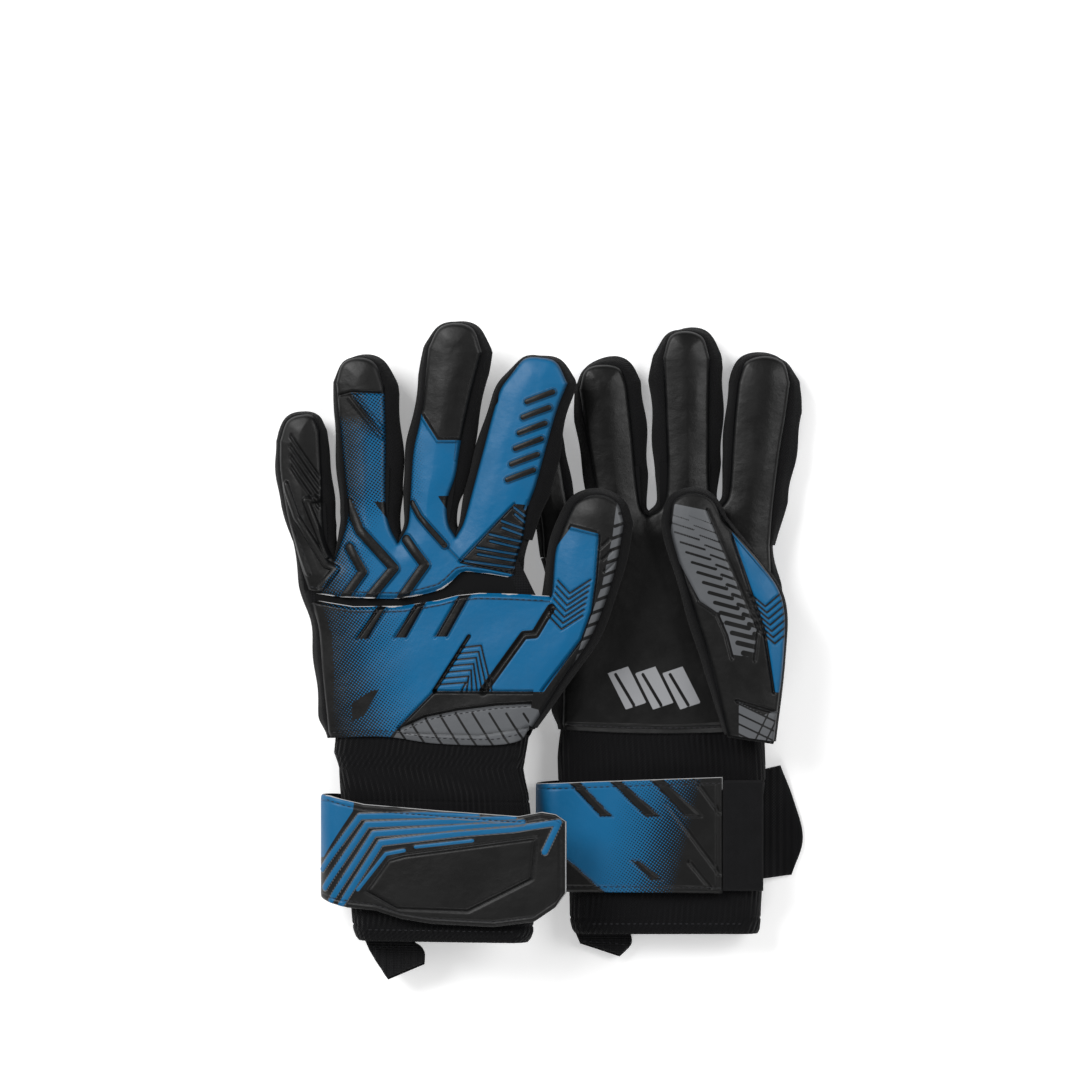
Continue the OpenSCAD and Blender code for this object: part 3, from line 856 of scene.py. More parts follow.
def hand_skin(side, top, part):
    """The hand's panels: the left back is cut in two by the knuckle seam, every other face is one panel."""
    hand = HAND[side]
    crown = crotch_line(side)
    if part == "upper":
        bottom, left = KNUCKLE_EDGE, [KNUCKLE_EDGE[0], [12, 40], crown[0]]
        upper, right = crown, [KNUCKLE_EDGE[-1], [107.4, 40], crown[-1]]
        rows, cols = 62, 200
    elif part == "punch":
        bottom, upper = hand["low"], PUNCH_EDGE
        left = [hand["low"][0], [22.4, -12], [20.5, 10], PUNCH_EDGE[0]]
        right = [hand["low"][-1], [113.4, -31], [115, -20], [117.4, -4], [121, 14], PUNCH_EDGE[-1]]
        rows, cols = 128, 200
    else:
        bottom, upper, left, right = hand["low"], crown, hand["left"], hand["right"]
        rows, cols = (150, 170) if top else (70, 80)
    grid = coons(bottom, resample(polyline(upper), 400), left, right, rows, cols)
    d = seam_distance(side, part, grid, top)
    height = skin_height(side, None, grid, d, top)
    spec = (LEFT_BACK if side == LEFT else RIGHT_PALM) if top else PLAIN
    marks = paint(grid, spec, left_tone(grid) if side == LEFT and top else None)
    if top:
        height = height + emboss(grid, spec, marks) * np.clip(d / 1.5, 0, 1)
        low_edge = line_distance(grid, smooth(hand["low"], 60))
        height = height - 1.2 * (1 - ease(low_edge / 3.0))
        # Painted shade along the lower edge, where the skin falls away
        marks["painted_shade"] = np.maximum(marks["painted_shade"], np.clip(1 - low_edge / 1.2, 0, 1) * 0.6)
    # Painted shade along the seams, where the skin dips
    marks["painted_shade"] = np.maximum(marks["painted_shade"], np.clip(1 - d / 1.6, 0, 1) * 0.8)
    if part == "upper":
        height = edge_foam(grid, KNUCKLE_EDGE, marks, height)
    if part == "punch":
        height = edge_foam(grid, PUNCH_EDGE, marks, height)
    if not top:
        height = np.maximum(height, CLEAR)
    material = "back" if (side == LEFT) == top else "palm"
    name = SIDES[side] + "_" + (part if part else "hand") + ("_top_skin" if top else "_under_skin")
    obj = plate(name, side, grid, height, SKIN_THICK, marks, MATERIALS[material], top)
    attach(obj, SIDES[side] + "_hand")
    return obj


def polyline(points):
    """Straight runs between the points, close enough together to keep their corners."""
    pts = np.asarray(points, float)
    runs = [np.linspace(a, b, 60, endpoint=False) for a, b in zip(pts[:-1], pts[1:])]
    return np.vstack(runs + [pts[-1:]])


def sweep(name, side, path, outward, profile, material, scale):
    """Closed tube of a given profile (out, height) along a plan path, with capped ends."""
    path, profile = np.asarray(path, float), np.asarray(profile, float)
    n, m = len(path), len(profile)
    plan = path[:, None] + outward[:, None] * (profile[None, :, 0] * scale[:, None])[..., None]
    verts = place(side, plan, np.broadcast_to(profile[:, 1], (n, m))).reshape(-1, 3)
    index = np.arange(n * m).reshape(n, m)
    nxt = np.roll(index, -1, axis=1)
    quads = np.stack([index[:-1], nxt[:-1], nxt[1:], index[1:]], -1).reshape(-1, 4)
    centre = verts.reshape(n, m, 3)[[0, -1]].mean(1)
    caps = []
    for ring, tip in ((index[0], n * m), (index[-1][::-1], n * m + 1)):
        after = np.roll(ring, -1)
        caps.append(np.stack([np.full(m, tip), after, ring], -1))
    s = np.concatenate([[0], np.cumsum(np.linalg.norm(np.diff(path, axis=0), axis=1))])
    around = np.concatenate([[0], np.cumsum(np.linalg.norm(np.diff(profile, axis=0), axis=1))])
    coords = np.stack([np.repeat(s, m), np.tile(around, n), np.zeros(n * m)], -1)
    coords = np.vstack([coords, coords[:2] * 0])
    return make_solid(name, np.vstack([verts, centre]), list(quads) + [q for c in caps for q in c],
                      {"plan": coords}, material)


def make_solid(name, verts, faces, attributes, material):
    """Mesh of mixed polygons with its faces turned outwards."""
    mesh = bpy.data.meshes.new(name)
    mesh.from_pydata(np.asarray(verts).tolist(), [], [list(map(int, f)) for f in faces])
    add_attributes(mesh, attributes)
    obj = bpy.data.objects.new(name, mesh)
    bpy.context.scene.collection.objects.link(obj)
    mesh.materials.append(material)
    mesh.polygons.foreach_set("use_smooth", np.full(len(mesh.polygons), True))
    face_outwards(obj)
    mesh.update()
    return obj


def face_outwards(obj):
    """Turns a closed piece's faces round if they point inwards."""
    if signed_volume(obj.data) < 0:
        obj.data.flip_normals()


def signed_volume(mesh):
    """Six times the volume that the faces enclose, below zero when they point inwards."""
    mesh.calc_loop_triangles()
    co = np.zeros(len(mesh.vertices) * 3)
    mesh.vertices.foreach_get("co", co)
    co = co.reshape(-1, 3)
    tri = np.zeros(len(mesh.loop_triangles) * 3, np.int32)
    mesh.loop_triangles.foreach_get("vertices", tri)
    a, b, c = co[tri.reshape(-1, 3)].transpose(1, 0, 2)
    return float(np.einsum("ij,ij->i", a, np.cross(b, c)).sum())


def normals_of(path, turn=1.0):
    """Direction to the left of a path at each point, or to its right when turn is -1."""
    t = np.gradient(path, axis=0)
    t /= np.linalg.norm(t, axis=1, keepdims=True) + 1e-9
    return np.stack([-t[:, 1], t[:, 0]], -1) * turn


def puff(low, high, wide):
    """Closed section of a gusset: sewn down at both faces and blown out between them."""
    t = np.linspace(0, 1, 15)
    z = low + (high - low) * t
    out = wide * np.sin(np.pi * t) ** 0.6 + 0.35 * np.sin(2 * np.pi * t * 2.0 + 0.6) * np.sin(np.pi * t)
    outer = np.stack([out, z], -1)
    inner = np.stack([out * 0.55 - 1.4, z], -1)[::-1]
    return np.vstack([outer, inner])


# Width of each digit's gusset at stations from its left crotch round the tip to its right crotch
GUSSET_WIDTHS = [
    {"little": [1.6, 3.0, 3.0, 1.0, 2.6, 4.6, 1.6], "ring": [1.6, 4.6, 3.2, 0.9, 5.0, 6.8, 1.6],
     "middle": [1.6, 4.4, 4.2, 0.9, 4.0, 5.2, 1.6], "index": [1.6, 4.6, 3.4, 0.9, 3.2, 6.4, 3.0],
     "thumb": [1.0, 4.4, 4.6, 2.6, 3.0, 2.6, 1.2]},
    {"little": [1.6, 3.0, 2.6, 1.2, 3.0, 3.6, 1.6], "ring": [1.6, 4.0, 3.8, 0.9, 6.6, 5.4, 1.6],
     "middle": [1.6, 5.0, 6.0, 1.0, 6.0, 5.4, 1.6], "index": [1.6, 3.6, 3.6, 1.0, 7.2, 6.4, 2.4],
     "thumb": [1.2, 3.4, 3.2, 2.4, 1.4, 1.0, 1.0]},
]
STATIONS = [0, 0.12, 0.36, 0.5, 0.64, 0.88, 1]
# A gusset is sewn this far in from the lower and the upper face
SEWN_LOW, SEWN_HIGH, PRESSED_HIGH = 3.6, 3.7, 2.2
DIGIT_PUFF, HAND_PUFF = 4.4, 4.2


def digit_gusset(side, digit):
    """Puffed fabric round a digit, between its two faces."""
    name = SIDES[side] + "_" + digit
    low, high = digit_range(side, digit)
    path = resample(digit_outline(side, digit), 190)
    t = np.linspace(0, 1, len(path))
    scale = np.interp(t, STATIONS, GUSSET_WIDTHS[side][digit]) / DIGIT_PUFF
    wave = 1 + 0.10 * np.sin(np.linspace(0, 34, len(path)) + side) * ease(np.minimum(t, 1 - t) / 0.2)
    top = high - (PRESSED_HIGH if pressed(side, digit) else SEWN_HIGH)
    profile = puff(low + SEWN_LOW, top, DIGIT_PUFF)
    obj = sweep(name + "_gusset_fabric", side, path, normals_of(path), profile, MATERIALS["gusset"],
                scale * wave)
    bend(obj)
    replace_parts(obj, name + "_gusset")


def thumb_end():
    """Gusset fabric that closes the lower end of the right thumb, which lies on the palm."""
    left, _, right = SEAMS[RIGHT]["thumb"]
    low, high = digit_range(RIGHT, "thumb")
    path = resample(np.array([right[0], left[0]], float), 40)
    profile = puff(low + SEWN_LOW, high - SEWN_HIGH, DIGIT_PUFF)
    obj = sweep("right_thumb_end_fabric", RIGHT, path, normals_of(path), profile, MATERIALS["gusset"],
                np.full(len(path), 0.3))
    bend(obj)


def side_gusset(side, edge):
    """Puffed fabric down one side of the hand, from the wrist to the nearest digit."""
    path = smooth(HAND[side][edge], 90)
    out = normals_of(path, 1.0 if edge == "left" else -1.0)
    t = np.linspace(0, 1, len(path))
    wave = 1 + 0.12 * np.sin(np.linspace(0, 19, len(path)))
    scale = wave * (0.4 + 0.6 * ease(t / 0.12)) * (0.35 + 0.65 * ease((1 - t) / 0.25))
    profile = puff(SEWN_LOW, GLOVE_T - SEWN_HIGH, HAND_PUFF)
    obj = sweep(SIDES[side] + "_hand_gusset_" + edge, side, path, out, profile, MATERIALS["gusset"], scale)
    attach(obj, SIDES[side] + "_hand")
    return obj


def flat_sheet(name, side, grid, top, thick, material):
    """Thin plain piece whose upper side is at the heights in top."""
    return plate(name, side, grid, top, thick, {}, MATERIALS[material])


def box_grid(x0, x1, y0, y1, step):
    """Grid over a rectangle, and the distance of its points from the rectangle's edge."""
    grid = coons([[x0, y0], [x1, y0]], [[x0, y1], [x1, y1]], [[x0, y0], [x0, y1]], [[x1, y0], [x1, y1]],
                 max(int((y1 - y0) / step), 4), max(int((x1 - x0) / step), 4))
    return grid, inside(grid, [[x0, y0], [x1, y0], [x1, y1], [x0, y1]])


def tube(name, side, stations, z0, z1, wall, material, ribs, seed):
    """Flat knitted tube through stations of y, left x and right x; it is ribbed and gathers in soft waves."""
    stations = np.asarray(stations, float)
    ys = np.linspace(stations[0, 0], stations[-1, 0], 70)
    xa = np.interp(ys, stations[:, 0], stations[:, 1])
    xb = np.interp(ys, stations[:, 0], stations[:, 2])
    around = 420
    rows = []
    coords = []
    rng = np.random.default_rng(seed)
    phase = rng.uniform(0, 6, 3)
    r = (z1 - z0) / 2
    for y, a, b in zip(ys, xa, xb):
        flat = b - a - 2 * r
        total = 2 * flat + 2 * math.pi * r
        s = np.arange(around) / around * total
        x, z, nx, nz = section(s, a, b, z0, r, flat)
        rib = 0.16 * np.cos(2 * math.pi * ribs * s / total)
        soft = 0.5 * np.sin(s / 9.0 + phase[0] + y * 0.05) * np.sin(y / 7.0 + phase[1])
        hem = -0.7 * ease((ys.min() + 1.6 - y) / 1.6) - 0.5 * (1 - ease(abs(y - ys.min() - 7) / 0.7))
        lift = rib + soft + hem
        outer = np.stack([x + nx * lift, np.full(around, y), z + nz * lift], -1)
        depth = wall - lift * 0.4
        inner = np.stack([x - nx * depth, np.full(around, y), z - nz * depth], -1)
        rows.append(np.vstack([outer, inner]))
        coords.append(np.stack([np.concatenate([s, s]), np.full(2 * around, y), np.zeros(2 * around)], -1))
    pts = np.array(rows)
    n = len(ys)
    index = np.arange(n * 2 * around).reshape(n, 2, around)
    faces = []
    for layer, flip in ((0, False), (1, True)):
        a = index[:-1, layer]
        b = index[1:, layer]
        quad = np.stack([a, np.roll(a, -1, 1), np.roll(b, -1, 1), b], -1).reshape(-1, 4)
        faces.append(quad[:, ::-1] if flip else quad)
    for row, flip in ((0, True), (n - 1, False)):
        a, b = index[row, 0], index[row, 1]
        quad = np.stack([a, np.roll(a, -1), np.roll(b, -1), b], -1)
        faces.append(quad[:, ::-1] if flip else quad)
    flat_pts = pts.reshape(-1, 3)
    verts = place(side, flat_pts[:, :2], flat_pts[:, 2])
    obj = make_mesh(name, verts, np.vstack(faces), {"plan": np.array(coords).reshape(-1, 3)}, None,
                    material)
    face_outwards(obj)
    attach(obj, SIDES[side] + "_hand")
    return obj


def section(s, a, b, z0, r, flat):
    """Point and outward direction at a length s round a flat tube with round edges."""
    half = math.pi * r
    x, z = np.zeros_like(s), np.zeros_like(s)
    nx, nz = np.zeros_like(s), np.zeros_like(s)
    low = s < flat
    x[low], z[low], nz[low] = a + r + s[low], z0, -1
    right = (s >= flat) & (s < flat + half)
    t = (s[right] - flat) / r - math.pi / 2
    x[right], z[right] = b - r + r * np.cos(t), z0 + r + r * np.sin(t)
    nx[right], nz[right] = np.cos(t), np.sin(t)
    up = (s >= flat + half) & (s < 2 * flat + half)
    x[up], z[up], nz[up] = b - r - (s[up] - flat - half), z0 + 2 * r, 1
    left = s >= 2 * flat + half
    t = (s[left] - 2 * flat - half) / r + math.pi / 2
    x[left], z[left] = a + r + r * np.cos(t), z0 + r + r * np.sin(t)
    nx[left], nz[left] = np.cos(t), np.sin(t)
    return x, z, nx, nz


def ribbon(name, side, path, low_of, high_of, material, marks_of=None, relief_of=None, soft=0.5, rows=110):
    """Band that follows a side view path (x, z, outward x, outward z); its edges come from the plan."""
    thick = BAND_THICK
    path = np.asarray(path, float)
    cols = len(path)
    v = np.linspace(0, 1, rows)
    s = np.concatenate([[0], np.cumsum(np.linalg.norm(np.diff(path[:, :2], axis=0), axis=1))])
    low, high = low_of(path[:, 0]), high_of(path[:, 0])
    y = low[None] + (high - low)[None] * v[:, None]
    x = np.broadcast_to(path[:, 0], (rows, cols))
    plan = np.stack([x, y], -1)
    edge = np.minimum(y - low[None], high[None] - y)
    edge = np.minimum(edge, np.minimum(s[None], s[-1] - s[None]))
    lift = soft * hills(plan, 30, 11 + side) * ease(edge / 8) - 0.7 * (1 - dome(edge, 1.6))
    marks = marks_of(plan, edge) if marks_of else {}
    if relief_of:
        lift += relief_of(plan, edge, marks)
    outer_x = path[None, :, 0] + path[None, :, 2] * lift
    outer_z = path[None, :, 1] + path[None, :, 3] * lift
    inner_x = np.broadcast_to(path[:, 0] - path[:, 2] * thick, lift.shape)
    inner_z = np.broadcast_to(path[:, 1] - path[:, 3] * thick, lift.shape)
    outer = place(side, np.stack([outer_x, y], -1), outer_z)
    inner = place(side, np.stack([inner_x, y], -1), inner_z)
    verts = np.vstack([outer.reshape(-1, 3), inner.reshape(-1, 3)])
    faces = np.vstack([grid_faces(rows, cols), grid_faces(rows, cols, rows * cols, True),
                       rim_faces(rows, cols)])
    across = np.stack([np.broadcast_to(s, (rows, cols)), y, 0 * y], -1).reshape(-1, 3)
    attributes = {"plan": np.vstack([across, across])}
    bare = {"black": NO_INK, "grey": NO_INK}
    for key, values in marks.items():
        attributes[key] = np.concatenate([values.ravel(), np.full(values.size, bare.get(key, 0.0))])
    obj = make_mesh(name, verts, faces, attributes, None, material)
    face_outwards(obj)
    return obj


def fold_path(x_end, x_fold, z_top, z_low, upper, count=150):
    """Half of a folded band: the run to x_end and its quarter of the fold at x_fold."""
    r = (z_top - z_low) / 2
    centre, mid = x_fold + r, (z_top + z_low) / 2
    sign = 1 if upper else -1
    t = np.linspace(0.04, math.pi / 2, 22)
    arc = np.stack([centre - r * np.cos(t), mid + sign * r * np.sin(t), -np.cos(t), sign * np.sin(t)], -1)
    xs = np.linspace(centre, x_end, count)[1:]
    z = np.full(len(xs), mid + sign * r)
    run = np.stack([xs, z, 0 * xs, np.full(len(xs), sign * 1.0)], -1)
    return np.vstack([arc, run])


def at(points):
    """The edge of a band as a function of x."""
    pts = np.asarray(points, float)
    return lambda x: np.interp(x, pts[:, 0], pts[:, 1])


# ---------------------------------------------------------------- straps
# Band thickness, and the heights of the folded band's upper run and of the run under the cuff
BAND_THICK = 2.0
FOLD_TOP, FOLD_LOW = 24.3, 0.6
# Top of the loop pad, which is sewn on the cuff
PAD_TOP = 20.4
# A stripe this far away, in millimetres, shows nowhere
NO_STRIPE = 50.0
CORNER_AT = [[40.5, -71.4], [43.6, -74.9], [46.7, -78.9], [49.7, -82.8]]
STRIPE_FOOT = [[23, -95], [24.5, -103], [27.5, -108.5], [31, -112]]
STRIPE_END = [[[70, -70.4], [92, -70.9]], [[80, -73], [108, -71.6]], [[84, -75.8], [112, -73.2]],
              [[84, -78.4], [108, -76.2], [127.6, -73], [121.4, -86]]]
STRIPES = [([foot, corner] + end, 1.25) for foot, corner, end in zip(STRIPE_FOOT, CORNER_AT, STRIPE_END)]
STRIPES.append(([[39.6, -103.4], [52, -87.6], [60, -86]], 0.8))
STRIPES.append(([[65, -84.4], [90, -81.4]], 0.7))
HEXAGON = [[53, -90], [60, -88], [118, -79.6], [116, -98], [88, -112.4], [57, -111.6], [43, -104]]
BLUE_END = [[10, -60], [38.6, -60], [37.4, -69], [23.6, -89.6], [10, -92]]
LEFT_TOP = [[20, -62.2], [26.3, -62.6], [42.3, -66], [74.4, -68.4], [110, -70.6], [120, -68.6],
            [126, -69.6], [131, -73]]
LEFT_LOW = [[20, -107.4], [26.3, -109.4], [34.9, -111.4], [47.3, -112.6], [58.4, -116], [72, -118],
            [99, -119], [116.4, -116.6], [126, -110], [131, -103]]
RIGHT_TOP = [[-3, -57.6], [20, -56.6], [90, -54.2], [99, -56]]
RIGHT_LOW = [[-3, -102], [12.8, -105], [60, -105.4], [99, -106]]


def left_strap_marks(plan, edge):
    """Blue stripes with pale rims, the blue end, and foam at the cut edge."""
    x = plan[..., 0]
    marks = paint(plan, {"bars": STRIPES, "black": [BLUE_END]})
    rims = np.full(x.shape, NO_STRIPE)
    for line, half in STRIPES[:4]:
        rims = np.minimum(rims, np.abs(line_distance(plan, line) - half - 0.3))
    marks["grey"] = 0.22 - rims
    above = (plan[..., 1] > -90) & (x > 24)
    marks["foam"] = ease((0.4 + 0.3 * hills(plan, 9, 8) - edge) / 0.3) * (above | (x > 126))
    return marks


def left_strap_relief(plan, edge, marks):
    """Raised hexagon and stripes, and a pressed line along the hem; painted shade follows the hexagon's edge
    and the hem line.
    """
    d = inside(plan, HEXAGON)
    lift = 0.9 * ease(d / 1.6) - 0.6 * (1 - ease(np.abs(d) / 0.9))
    lift -= 0.45 * (1 - ease(np.abs(edge - 2.4) / 0.6))
    marks["painted_shade"] = np.maximum(0.6 * (1 - ease(np.abs(d) / 0.9)),
                               0.5 * (1 - ease(np.abs(edge - 2.4) / 0.5)))
    stripes = np.full(d.shape, NO_STRIPE)
    for line, half in STRIPES:
        stripes = np.minimum(stripes, line_distance(plan, line) - half - 0.3)
    return lift + 0.45 * (1 - ease((stripes + 0.7) / 0.8))


RIGHT_BARS = [[[9, -53], [14.6, -53], [32.4, -71.9], [26.6, -71.9]], [[27, -53], [33, -53], [53.4, -71.9],
              [46.6, -71.9]], [[46, -53], [52, -53], [71.4, -71.9], [64, -71.9]],
              [[4, -84], [12.8, -90.6], [31, -107],
              [4, -107]], [[40, -91], [44, -91], [54, -99.6], [49, -99.6]]]


def right_strap_marks(plan, edge):
    """Blue that breaks up into dots towards the end, with black bars."""
    x = plan[..., 0]
    marks = paint(plan, {"black": RIGHT_BARS})
    bars = marks["black"]
    marks["black"] = np.minimum(25 - x, -bars)
    marks["tone"] = np.clip((68 + (plan[..., 1] + 75) * 0.25 - x) / 42, 0, 1) ** 0.8 * (bars < 0.2)
    marks["foam"] = ease((0.4 + 0.3 * hills(plan, 9, 9) - edge) / 0.3) * (plan[..., 1] > -60)
    return marks


def right_strap_relief(plan, edge, marks):
    """Raised bars, slanted grooves, and a pressed line along the hem; painted shade rings the bars."""
    lift = np.zeros(edge.shape)
    for poly in RIGHT_BARS:
        d = inside(plan, poly)
        lift += 0.5 * ease(d / 1.0) - 0.4 * (1 - ease(np.abs(d) / 0.7))
        marks["painted_shade"] = np.maximum(marks["painted_shade"], 0.5 * (1 - ease(np.abs(d) / 0.7)))
    for line in ([[56, -66], [79, -97]], [[68, -55], [79, -70]], [[66, -92], [75, -103]]):
        lift += groove(line_distance(plan, line), 1.3, 0.9)
    return lift - 0.45 * (1 - ease(np.abs(edge - 2.6) / 0.6))


# Where each strap folds round the edge of its cuff
FOLD_X = (21.0, -1.8)


def turn_at_fold(obj):
    """Bakes the band's placement into its mesh."""
    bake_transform(obj)


def straps():
    """Printed band, elastic under the cuff, hook patch and loop pad of each strap."""
    spec = {
        LEFT: dict(end=130.6, top=at(LEFT_TOP), low=at(LEFT_LOW), marks=left_strap_marks,
                   relief=left_strap_relief, patch=(107, 128, -106, -76), patch_top=22.0, patch_thick=1.3,
                   pad=(84, 111, -108, -76), under=109),
        RIGHT: dict(end=80.4, top=at(RIGHT_TOP), low=at(RIGHT_LOW), marks=right_strap_marks,
                    relief=right_strap_relief, patch=(80.2, 98.4, -104.6, -56), patch_top=23.6,
                    patch_thick=2.4,
                    pad=(72, 96, -102, -68), under=95),
    }
    for side, s in spec.items():
        name = SIDES[side]
        run = fold_path(s["end"], FOLD_X[side], FOLD_TOP, FOLD_LOW, True)
        band = ribbon(name + "_strap_band_print", side, run, s["low"], s["top"], MATERIALS["strap"],
                      s["marks"], s["relief"])
        turn_at_fold(band)
        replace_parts(band, name + "_strap_band")
        run = fold_path(s["under"], FOLD_X[side], FOLD_TOP, FOLD_LOW, False, 60)
        anchor = ribbon(name + "_strap_anchor_elastic", side, run, s["low"], s["top"], MATERIALS["elastic"],
                        soft=0.0, rows=60)
        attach(anchor, name + "_hand")
        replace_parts(anchor, name + "_strap_anchor")
        grid, edge = box_grid(*s["patch"], 0.6)
        height = s["patch_top"] - 0.9 * (1 - dome(edge, 1.4))
        patch = flat_sheet(name + "_hook_patch_tape", side, grid, height, s["patch_thick"], "tape")
        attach(patch, name + "_strap")
        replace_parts(patch, name + "_hook_patch")
        grid, edge = box_grid(*s["pad"], 0.8)
        height = PAD_TOP - 0.6 * (1 - dome(edge, 1.5))
        pad = flat_sheet(name + "_loop_pad_tape", side, grid, height, 1.0, "tape")
        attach(pad, name + "_hand")
        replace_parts(pad, name + "_loop_pad")


def right_tail():
    """End of the elastic, pulled out from under the strap past the edge of the cuff."""
    outer = [[112, -99], [117, -83], [113, -66], [107, -50.4]]
    grid = coons([[93, -101], [112, -99]], [[94, -53], [107, -50.4]], [[93, -101], [95, -78], [94, -53]],
                 outer, 90, 44)
    edge = inside(grid, np.vstack([smooth(outer, 40), [[94, -53], [93, -101]]]))
    height = 3.0 + 5.0 * ease((112 - grid[..., 0])
                              / 16) + 0.8 * hills(grid, 18, 5) - 0.8 * (1 - dome(edge, 1.6))
    obj = flat_sheet("right_elastic_tail", RIGHT, grid, height, 2.2, "elastic")
    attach(obj, "right_hand")


# Each pull tab: its sewn edge, its free edge and its two sides
TABS = [
    [[[38, -125.6], [57.6, -125.8]], [[49, -143.6], [65, -136.6]],
     [[38, -125.6], [42.3, -134], [49, -143.6]],
     [[57.6, -125.8], [64.4, -130.4], [65, -136.6]]],
    [[[15.6, -123.6], [40.2, -123.8]], [[18, -128.4], [35.6, -134.2]], [[15.6, -123.6], [18, -128.4]],
     [[40.2, -123.8], [40.8, -129], [35.6, -134.2]]],
]


# Height of each layer of a tab, and how far its free edge reaches past the upper layer's
TAB_LAYERS = ((6.4, 0.0), (4.9, 0.9))
TAB_ROWS = 60


def pull_tab(side):
    """Webbing folded double, sewn in at the hem of the cuff."""
    bottom, top, left, right = TABS[side]
    made = []
    for k, (z, drop) in enumerate(TAB_LAYERS):
        grid = coons(bottom, top, left, right, TAB_ROWS, TAB_ROWS)
        grid[..., 1] -= drop * np.linspace(0, 1, TAB_ROWS)[:, None]
        ring = np.vstack([smooth(left, 40), smooth(top, 40), smooth(right, 40)[::-1]])
        d = line_distance(grid, ring)
        wave = 0.25 * np.cos(grid[..., 0] * 2 * math.pi / 3.4)
        height = z + wave + 0.5 * hills(grid, 16, k) - 0.5 * (1 - dome(d, 1.0))
        name = SIDES[side] + f"_pull_tab_webbing_{k + 1}"
        obj = flat_sheet(name, side, grid[:, ::-1], height[:, ::-1], 1.2, "webbing")
        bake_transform(obj)
        made.append(obj)
    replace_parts(made[0], SIDES[side] + "_pull_tab")


# ---------------------------------------------------------------- stitches
def stitch_tree():
    """Repeats one thread capsule along a line."""
    tree = bpy.data.node_groups.new("Stitches", "GeometryNodeTree")
    sockets = (("Line", "NodeSocketGeometry"), ("Pitch", "NodeSocketFloat"), ("Length", "NodeSocketFloat"),
               ("Thickness", "NodeSocketFloat"), ("Thread", "NodeSocketMaterial"))
    for label, kind in sockets:
        tree.interface.new_socket(label, in_out="INPUT", socket_type=kind)
    tree.interface.new_socket("Stitches", in_out="OUTPUT", socket_type="NodeSocketGeometry")
    g = Graph(tree)
    given = g.add("NodeGroupInput").outputs
    curve = g.add("GeometryNodeMeshToCurve", {"Mesh": given["Line"]}).outputs[0]
    spaced = g.add("GeometryNodeResampleCurve", {"Curve": curve, "Length": given["Pitch"]}, mode="LENGTH")
    capsule = g.add("GeometryNodeMeshUVSphere", {"Segments": 8, "Rings": 5, "Radius": 1.0}).outputs["Mesh"]
    tangent = g.add("GeometryNodeInputTangent").outputs[0]
    turn = g.add("FunctionNodeAlignRotationToVector", {"Vector": tangent}, axis="Z").outputs[0]
    sizes = {0: given["Thickness"], 1: given["Thickness"], 2: given["Length"]}
    size = g.add("ShaderNodeCombineXYZ", sizes).outputs[0]
    inputs = {"Points": spaced.outputs[0], "Instance": capsule, "Rotation": turn, "Scale": size}
    copies = g.add("GeometryNodeInstanceOnPoints", inputs).outputs[0]
    real = g.add("GeometryNodeRealizeInstances", {0: copies}).outputs[0]
    done = g.add("GeometryNodeSetMaterial", {"Geometry": real, "Material": given["Thread"]}).outputs[0]
    tree.links.new(done, g.add("NodeGroupOutput").inputs[0])
    return tree


STITCHES = stitch_tree()
# One stitch, in millimetres: from start to start, half its length, half its thickness, and how deep it sinks
PITCH, HALF_LENGTH, HALF_THREAD, SINK = 2.6, 0.85, 0.22, 0.02
# Stitches drop from here, above every skin
ABOVE = 60.0


def stitch(name, skin, side, line, body):
    """A run of stitches dropped on to the top of a skin along a plan line."""
    points = smooth(line, 160)
    start = place(side, points, ABOVE)
    tree = BVHTree.FromObject(skin, bpy.context.evaluated_depsgraph_get())
    down = Vector(place(side, points[:1], 0.0)[0] - start[0]).normalized()
    spots = []
    for point in start:
        hit = tree.ray_cast(Vector(point), down)[0]
        if hit is not None:
            spots.append(hit - down * SINK * MM)
    mesh = bpy.data.meshes.new(name + "_line")
    mesh.from_pydata(spots, [(k, k + 1) for k in range(len(spots) - 1)], [])
    obj = bpy.data.objects.new(name + "_line", mesh)
    bpy.context.scene.collection.objects.link(obj)
    modifier = obj.modifiers.new("stitches", "NODES")
    modifier.node_group = STITCHES
    values = {"Pitch": PITCH * MM, "Length": HALF_LENGTH * MM, "Thickness": HALF_THREAD * MM,
              "Thread": MATERIALS["thread"]}
    for item in STITCHES.interface.items_tree:
        if item.in_out == "INPUT" and item.name in values:
            modifier[item.identifier] = values[item.name]
    bpy.context.view_layer.update()
    graph = bpy.context.evaluated_depsgraph_get()
    result = bpy.data.meshes.new_from_object(obj.evaluated_get(graph), depsgraph=graph)
    bpy.data.objects.remove(obj)
    result.name = name
    made = bpy.data.objects.new(name, result)
    bpy.context.scene.collection.objects.link(made)
    plan = np.zeros(len(result.vertices) * 3)
    result.vertices.foreach_get("co", plan)
    add_attributes(result, {"plan": (plan / MM).reshape(-1, 3)})
    if body.endswith("_strap"):
        turn_at_fold(made)
    else:
        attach(made, body)


